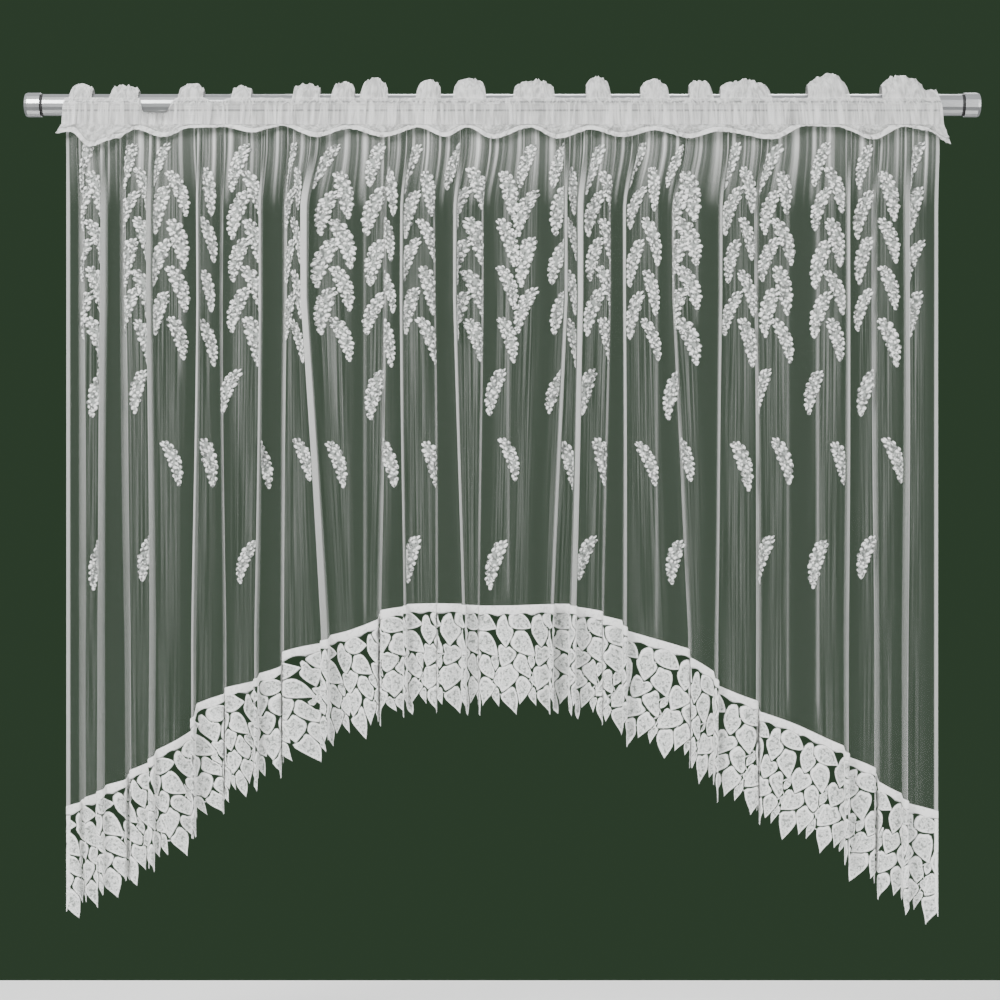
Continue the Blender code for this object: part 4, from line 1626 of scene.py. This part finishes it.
    def leaf_sheet(self) -> FlatSheet:
        """All leaves with their raised cords, and the short bars that tie each to the ones beside it."""
        sheet = FlatSheet()
        leaves = self.leaves()
        centres = np.array([leaf.centre for leaf in leaves])
        for number, leaf in enumerate(leaves):
            distances = np.linalg.norm(centres - leaf.centre, axis=1)
            beside = [leaves[k] for k in np.flatnonzero(distances < self.near) if k != number]
            outline = self.fitted_outline(leaf, number, beside)
            rings = [sheet.row(*(leaf.heart + outline * ring.scale).T, ring) for ring in LEAF_RINGS]
            sheet.fan(leaf.heart, rings[0], LEAF_RINGS[0])
            sheet.strips(rings, closed=True)
            for k in np.flatnonzero(distances < self.bar_reach):
                if k > number:
                    self.add_bar(sheet, leaf.centre, centres[k])
        sheet.trim(self.cloth.width)
        return sheet

    def add_bar(self, sheet: FlatSheet, start: np.ndarray, end: np.ndarray) -> None:
        """Adds the thin bar that ties two leaves together."""
        along = (end - start) / np.linalg.norm(end - start)
        across = np.array([-along[1], along[0]]) * self.bar_width / 2
        middle = np.linspace(start, end, self.bar_steps + 1)
        sheet.strips([sheet.row(*(middle + side).T, BAR_ROW) for side in (-across, across)])

    def build(self, finish: LaceFinish) -> bpy.types.Object:
        """Lays, hangs and dresses the lace.

        Args:
            finish: the lace's finish.

        Returns:
            The lace.
        """
        sheet = self.leaf_sheet()
        sheet.join(self.band_sheet())
        sheet.join(self.edge_sheet())
        flat, lift, ridge, groove_shade = sheet.arrays()
        s, z = flat.T
        piece = Piece.mesh_object("leaf_lace_border", self.cloth.hang(s, z, lift), sheet.faces)
        Piece.attribute(piece, "ridge", ridge)
        Piece.attribute(piece, "groove_shade", groove_shade)
        Piece.flat_map(piece, s / self.cloth.width, (z - z.min()) / (z.max() - z.min()))
        Piece.finish(piece, finish.build(), finish.slot, "lace_border")
        laid, area = (self.cloth.width, self.depth), sheet.area()
        return piece


@dataclass
class HeadingBand:
    """The gathered heading: a band before the rod with a flounce, a band behind it, and loops over it."""

    left: float = -0.789
    right: float = 0.789
    seam_z: float = -0.035
    seam_y: float = 0.0034
    wrap_radius: float = 0.0217
    station_step: float = 0.0024
    ripple: float = 0.0016
    ripple_length: float = 0.0150
    hem_ripple: float = 1.2
    wrap_ripple: float = 0.4
    gather_leans: tuple[Range, Range] = ((0.5, 0.043), (0.35, 0.017))
    gather_reach: float = 0.0012
    gather_seed: float = 1.3
    steepness: float = 1.3
    slant: float = 0.22
    crumple_height: float = 0.0036
    crumple_bend: float = 0.2
    crumple_bends: float = 60.0
    loop_fullness: float = 0.44
    loop_swell: float = 0.6
    loop_slant: float = -0.5
    loop_depth: float = 0.9
    loop_narrowing: float = 0.07
    loop_unevenness: float = 0.12
    loop_waves: float = 95.0
    loop_shift: float = 400.0
    slot_degrees: float = 60.0
    slot_wander: float = 7.0
    slot_wander_length: float = 0.055
    slot_reach: float = 30.0
    low_degrees: float = 100.0
    bare_slot_degrees: float = 132.0
    bare_low_degrees: float = 146.0
    opening_ease: float = 0.014
    seam_spread: float = 0.30
    top_spread: float = -0.60
    wrap_rows: int = 22
    flounce_rows: int = 8
    hem_band: float = 0.0085
    most_hem: float = 0.7
    most_stitched: float = 0.9
    stitch: float = 0.0012
    billow: float = 0.006
    loop_crease: float = 0.0016
    cover_clear: float = 0.74
    cover_dense: float = 0.94
    cover_stitch: float = 0.60
    cover_hem: float = 0.98

    def rise(self, x: float) -> tuple[float, float]:
        """The loop over this place: how far it stands above the rod, and its middle, or (0, x) in a slot."""
        for puff in PUFFS:
            share = abs(x - puff.x) / puff.half_width
            if share <= 1.0:
                wave = math.sin(x * self.loop_waves + puff.x * self.loop_shift)
                uneven = 1 - self.loop_unevenness * (1 + wave) / 2
                return puff.rise * uneven * math.cos(share * math.pi / 2) ** self.loop_fullness, puff.x
        return 0.0, x

    def gather(self, x: float, down: float) -> tuple[float, float]:
        """The small gathers, which lean and spread as they run down from the seam.

        Args:
            x: the place along the rod.
            down: 0 at the seam, 1 at the flounce's hem, under 0 up in a loop.

        Returns:
            How far the cloth stands out, from 0 to 1, and how much light it stops.
        """
        (lean, lean_length), (fan, fan_length) = self.gather_leans
        leans = lean * math.sin(x / lean_length) * down + fan * math.sin(x / fan_length) * down * down
        places = np.array([x - self.gather_reach, x, x + self.gather_reach]) / self.ripple_length + leans
        wave = wander(places, self.gather_seed)
        steep = min(1.0, abs(float(wave[2] - wave[0])) * self.steepness)
        creased = self.crumple(x, down)
        out = (1 + float(wave[1])) / 2 + creased * self.crumple_height / self.ripple
        return out, blend(self.cover_clear, self.cover_dense, max(steep, creased))

    def crumple(self, x: float, down: float) -> float:
        """The irregular creases that slant both ways across the voile: 1 on a crease, 0 beside it."""
        found = 0.0
        for family in CRUMPLES:
            bent = self.crumple_bend * math.sin(x * self.crumple_bends)
            place = np.array([x / family.apart + family.slant * down + bent])
            found = max(found, 1 - abs(float(wander(place, family.seed)[0])) * family.thin)
        return eased(found, 0.0, 1.0)

    def flounce(self, x: float, hem_x: float) -> tuple[list[Point], list[float]]:
        """The flounce at one place along the rod, from its hem up to just under the seam.

        Args:
            x: the place along the rod.
            hem_x: where the hem is there, since the flounce spreads as it falls.

        Returns:
            The points, and how much light each stops.
        """
        hem_z = smooth_through(FLOUNCE_HEM, hem_x)
        drop = self.seam_z - hem_z
        hem = min(self.hem_band, self.most_hem * drop)
        stitched = min(hem + self.stitch, self.most_stitched * drop)
        heights = [0.0, hem / 2, hem, stitched]
        heights += [blend(stitched, drop, k / self.flounce_rows) for k in range(1, self.flounce_rows)]
        low, high = min(point.z for point in FLOUNCE_HEM), max(point.z for point in FLOUNCE_HEM)
        points, covers = [], []
        for height in heights:
            down = 1 - height / drop
            out, cover = self.gather(x, down)
            billow = self.billow * down * (hem_z - low) / (high - low)
            rippled = out * self.ripple * (1 + self.hem_ripple * down)
            y = -(self.seam_y + rippled + self.slant * drop * down + billow)
            points.append((blend(x, hem_x, blend(self.seam_spread, 1.0, down)), y, hem_z + height))
            if height <= hem:
                cover = self.cover_hem
            covers.append(self.cover_stitch if height == stitched else cover)
        return points, covers

    def wrap(self, x: float, hem_x: float, ripple: float) -> tuple[list[Point], list[float]]:
        """The cloth round the rod at one place along it, from the front over the top to the back.

        Args:
            x: the place along the rod.
            hem_x: where the flounce's hem is there.
            ripple: how far the cloth stands out at the seam.

        Returns:
            The points, and how much light each stops.
        """
        rise, middle = self.rise(x)
        uneven = self.slot_wander * float(wander(np.array([x / self.slot_wander_length]), 5.0)[0])
        opening = self.opening(x)
        points, covers = [], []
        for k in range(self.wrap_rows + 1):
            degrees = blend(self.low_degrees, -self.low_degrees, k / self.wrap_rows)
            from_slot = abs(abs(degrees) - self.slot_degrees)
            shift = math.copysign(uneven * max(0.0, 1 - from_slot / self.slot_reach), degrees)
            angle = math.radians(self.opened(degrees, opening) + shift)
            quarter = math.radians(min(90.0, abs(degrees) * 90 / self.slot_degrees))
            loop = max(0.0, math.cos(quarter)) ** self.loop_swell
            crease, cover = self.gather(x, self.loop_slant * loop)
            stand = self.wrap_radius + loop * rise + self.wrap_ripple * ripple * (1 - loop)
            stand += self.loop_crease * crease * loop
            spread = blend(self.seam_spread, self.top_spread, (1 + math.cos(angle)) / 2)
            narrowed = blend(x, hem_x, spread) - (x - middle) * self.loop_narrowing * loop
            depth = blend(1.0, self.loop_depth, loop)
            points.append((narrowed, -stand * math.sin(angle) * depth, stand * math.cos(angle)))
            covers.append(self.cover_hem if from_slot < self.low_degrees / self.wrap_rows else cover)
        return points, covers

    def station(self, x: float, share: float) -> tuple[list[Point], list[float]]:
        """The points of the heading at one place along the rod, from the hem over the rod to the back.

        Args:
            x: the place along the rod.
            share: the same place as a share of the heading's width.

        Returns:
            The points, and how much light each stops.
        """
        hem_x = blend(FLOUNCE_HEM[0].x, FLOUNCE_HEM[-1].x, share)
        out, seam_cover = self.gather(x, 0.0)
        ripple = out * self.ripple
        hanging, hanging_covers = self.flounce(x, hem_x)
        wrapped, wrapped_covers = self.wrap(x, hem_x, ripple)
        seam_x, seam_y = blend(x, hem_x, self.seam_spread), self.seam_y + ripple
        front, back = (seam_x, -seam_y, self.seam_z), (seam_x, seam_y, self.seam_z)
        points = [*hanging, front, *wrapped, back]
        return points, [*hanging_covers, seam_cover, *wrapped_covers, wrapped_covers[-1]]

    def opening(self, x: float) -> float:
        """How far the slot opens in front of the rod at this place, up to 1 where the whole tube shows."""
        found = 0.0
        for stretch in BARE_STRETCHES:
            rising = eased(x, stretch.left, stretch.left + self.opening_ease)
            falling = eased(-x, -stretch.right, self.opening_ease - stretch.right)
            found = max(found, stretch.opening * rising * falling)
        return found

    def opened(self, degrees: float, opening: float) -> float:
        """Turns a place round the rod down with the slot's front edge.

        Args:
            degrees: the place, from the rod's top towards the front.
            opening: how far the slot opens here.

        Returns:
            The new place in degrees.
        """
        if degrees <= 0:
            return degrees
        slot = blend(self.slot_degrees, self.bare_slot_degrees, opening)
        low = blend(self.low_degrees, self.bare_low_degrees, opening)
        if degrees < self.slot_degrees:
            return degrees * slot / self.slot_degrees
        return blend(slot, low, (degrees - self.slot_degrees) / (self.low_degrees - self.slot_degrees))

    def is_loop_row(self, row: int) -> bool:
        """True if the cloth between this row and the next is only there in a loop."""
        first = self.flounce_rows + 4
        if not first <= row < first + self.wrap_rows:
            return False
        middle = blend(self.low_degrees, -self.low_degrees, (row - first + 0.5) / self.wrap_rows)
        return abs(middle) < self.slot_degrees

    def build(self, finish: VoileFinish) -> bpy.types.Object:
        """Makes and dresses the heading.

        Args:
            finish: the heading's finish.

        Returns:
            The heading.
        """
        count = round((self.right - self.left) / self.station_step)
        stations = [blend(self.left, self.right, k / count) for k in range(count + 1)]
        points, covers = [], []
        for k, x in enumerate(stations):
            places, cover = self.station(x, k / count)
            points += places
            covers += cover
        rows = len(points) // len(stations)
        over = [any(abs(x - puff.x) <= puff.half_width for puff in PUFFS) for x in stations]
        faces = []
        for k in range(count):
            for row in range(rows - 1):
                if self.is_loop_row(row) and not (over[k] and over[k + 1]):
                    continue
                here, beside = k * rows + row, (k + 1) * rows + row
                faces.append((here, beside, beside + 1, here + 1))
        used, inverse = np.unique(np.array(faces), return_inverse=True)
        faces_used = inverse.reshape(-1, 4)
        places = np.array(points)[used]
        piece = Piece.mesh_object("heading_band", places, faces_used)
        Piece.attribute(piece, "cover", np.array(covers)[used])
        station_share = (used // rows) / count
        row_share = (used % rows) / (rows - 1)
        Piece.flat_map(piece, station_share, row_share)
        Piece.finish(piece, finish.build(), finish.slot, "heading")
        return piece


@dataclass
class RodDress:
    """The finishes of the tube, its rings and its caps, whose CAD shapes stay."""

    steel: SteelFinish
    cap_steel: SteelFinish
    rubber: RubberFinish

    def build(self, nodes: dict[str, bpy.types.Object]) -> None:
        """Dresses the CAD nodes of the rod.

        Args:
            nodes: the CAD nodes by name.
        """
        dressed = {
            self.steel.build(): ("rod",),
            self.cap_steel.build(): ("cap_left", "cap_right"),
            self.rubber.build(): ("ring_left", "ring_right"),
        }
        for material, names in dressed.items():
            for name in names:
                mesh = nodes[name].data
                mesh.materials.clear()
                mesh.materials.append(material)
                log.info("%s: dressed with %s", name, material.name)


@dataclass
class Studio:
    """The pale floor, the soft lights, the plain surroundings and the camera."""

    view_middle: Point = (-0.0045, 0.0, -0.711)
    distance: float = 4.5
    lens: float = 90.0
    floor_z: float = -1.72
    floor_size: tuple[float, float] = (3.4, 1.5)
    floor_colour: Colour = (0.78, 0.78, 0.76)
    backdrop: Colour = (0.030, 0.055, 0.030)
    sky: Colour = (0.95, 0.97, 1.0)
    low_sky: Colour = (0.50, 0.51, 0.52)
    horizon: Colour = (0.10, 0.10, 0.11)
    sky_edges: Range = (-0.4, 0.8)
    horizon_edges: Range = (0.03, 0.10)
    sky_strength: float = 0.85

    def floor(self) -> None:
        """Lays the plain floor."""
        wide, deep = (side / 2 for side in self.floor_size)
        corners = ((-wide, -deep), (wide, -deep), (wide, deep), (-wide, deep))
        points = np.array([(x, y, self.floor_z) for x, y in corners])
        made = Piece.mesh_object("floor", points, [(0, 1, 2, 3)])
        material, _, _ = Finish("plain_floor", self.floor_colour, 0.8, slot="").shader()
        made.data.materials.append(material)

    def area_light(self, lamp: Lamp) -> None:
        """Adds a soft square light that shines at the curtain's middle."""
        light = bpy.data.lights.new(lamp.name, "AREA")
        light.size = lamp.side
        light.energy = lamp.power
        made = bpy.data.objects.new(lamp.name, light)
        bpy.context.scene.collection.objects.link(made)
        made.location = lamp.place
        direction = Vector(self.view_middle) - made.location
        made.rotation_euler = direction.to_track_quat("-Z", "Y").to_euler()

    def surroundings(self) -> None:
        """Sets a soft sky for the lighting and a plain dark ground behind the object."""
        world = bpy.data.worlds.new("studio")
        bpy.context.scene.world = world
        world.use_nodes = True
        nodes = Nodes(world.node_tree)
        world.node_tree.nodes.clear()
        way = nodes.add("TexCoord").outputs["Generated"]
        up = nodes.feed(nodes.add("SeparateXYZ"), Vector=way).outputs["Z"]
        open_sky = nodes.mix(nodes.spread(up, *self.sky_edges), self.low_sky, self.sky)
        above = nodes.spread(nodes.math("ABSOLUTE", up), *self.horizon_edges)
        sky = nodes.mix(above, self.horizon, open_sky)
        lighting = nodes.feed(nodes.add("Background"), Color=sky, Strength=self.sky_strength)
        plain = nodes.feed(nodes.add("Background"), Color=(*self.backdrop, 1.0))
        chosen = nodes.add("MixShader")
        seen = nodes.add("LightPath").outputs["Is Camera Ray"]
        for source, socket in zip((seen, lighting.outputs[0], plain.outputs[0]), chosen.inputs):
            nodes.plug(source, socket)
        nodes.feed(nodes.add("OutputWorld"), Surface=chosen.outputs[0])

    def camera(self) -> None:
        """Sets the camera straight before the curtain, as in the photograph."""
        data = bpy.data.cameras.new("camera")
        data.lens = self.lens
        made = bpy.data.objects.new("camera", data)
        bpy.context.scene.collection.objects.link(made)
        x, _, z = self.view_middle
        made.location = (x, -self.distance, z)
        made.rotation_euler = (math.pi / 2, 0.0, 0.0)
        bpy.context.scene.camera = made

    def build(self) -> None:
        """Builds the whole studio."""
        self.floor()
        for lamp in LAMPS:
            self.area_light(lamp)
        self.surroundings()
        self.camera()


@dataclass
class Curtain:
    """The whole object: its cloths and the finishes of the rod."""

    cloth: HungCloth = field(default_factory=HungCloth)
    net_drop: float = 1.245
    heading_size: Range = (1.66, 0.20)
    off_white: Colour = (0.88, 0.88, 0.86)
    voile_white: Colour = (0.87, 0.87, 0.85)

    def finishes(self) -> tuple[NetFinish, SpikeFinish, LaceFinish, VoileFinish]:
        """The finishes of the four cloth pieces."""
        white, net_size, band_size = self.off_white, (self.cloth.width, self.net_drop), self.heading_size
        return (
            NetFinish("sheer_net", white, 0.75, "sheer_net", flat_size=net_size),
            SpikeFinish("spike_yarn", white, 0.85, "sheer_net"),
            LaceFinish("leaf_lace", white, 0.80, "leaf_lace"),
            VoileFinish("heading_voile", self.voile_white, 0.70, "heading_voile", flat_size=band_size),
        )

    def build(self, nodes: dict[str, bpy.types.Object]) -> None:
        """Makes every cloth and dresses the rod.

        Args:
            nodes: the CAD nodes by name.
        """
        net, spikes, lace, voile = self.finishes()
        HeadingBand().build(voile)
        NetPanel(self.cloth).build(net)
        WovenSpikes(self.cloth).build(spikes)
        LaceBorder(self.cloth).build(lace)
        RodDress(
            SteelFinish("rod_steel", (0.50, 0.51, 0.51), 0.36, "chrome"),
            SteelFinish("cap_steel", (0.56, 0.57, 0.57), 0.30, "chrome", marks=0.3),
            RubberFinish("ring_rubber", (0.012, 0.012, 0.012), 0.6, "ring_rubber"),
        ).build(nodes)


def main() -> None:
    """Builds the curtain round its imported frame."""
    logging.basicConfig(level=logging.INFO, format="%(message)s")
    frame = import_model()
    Curtain().build(frame["nodes"])
    Studio().build()


if __name__ == "__main__":
    main()
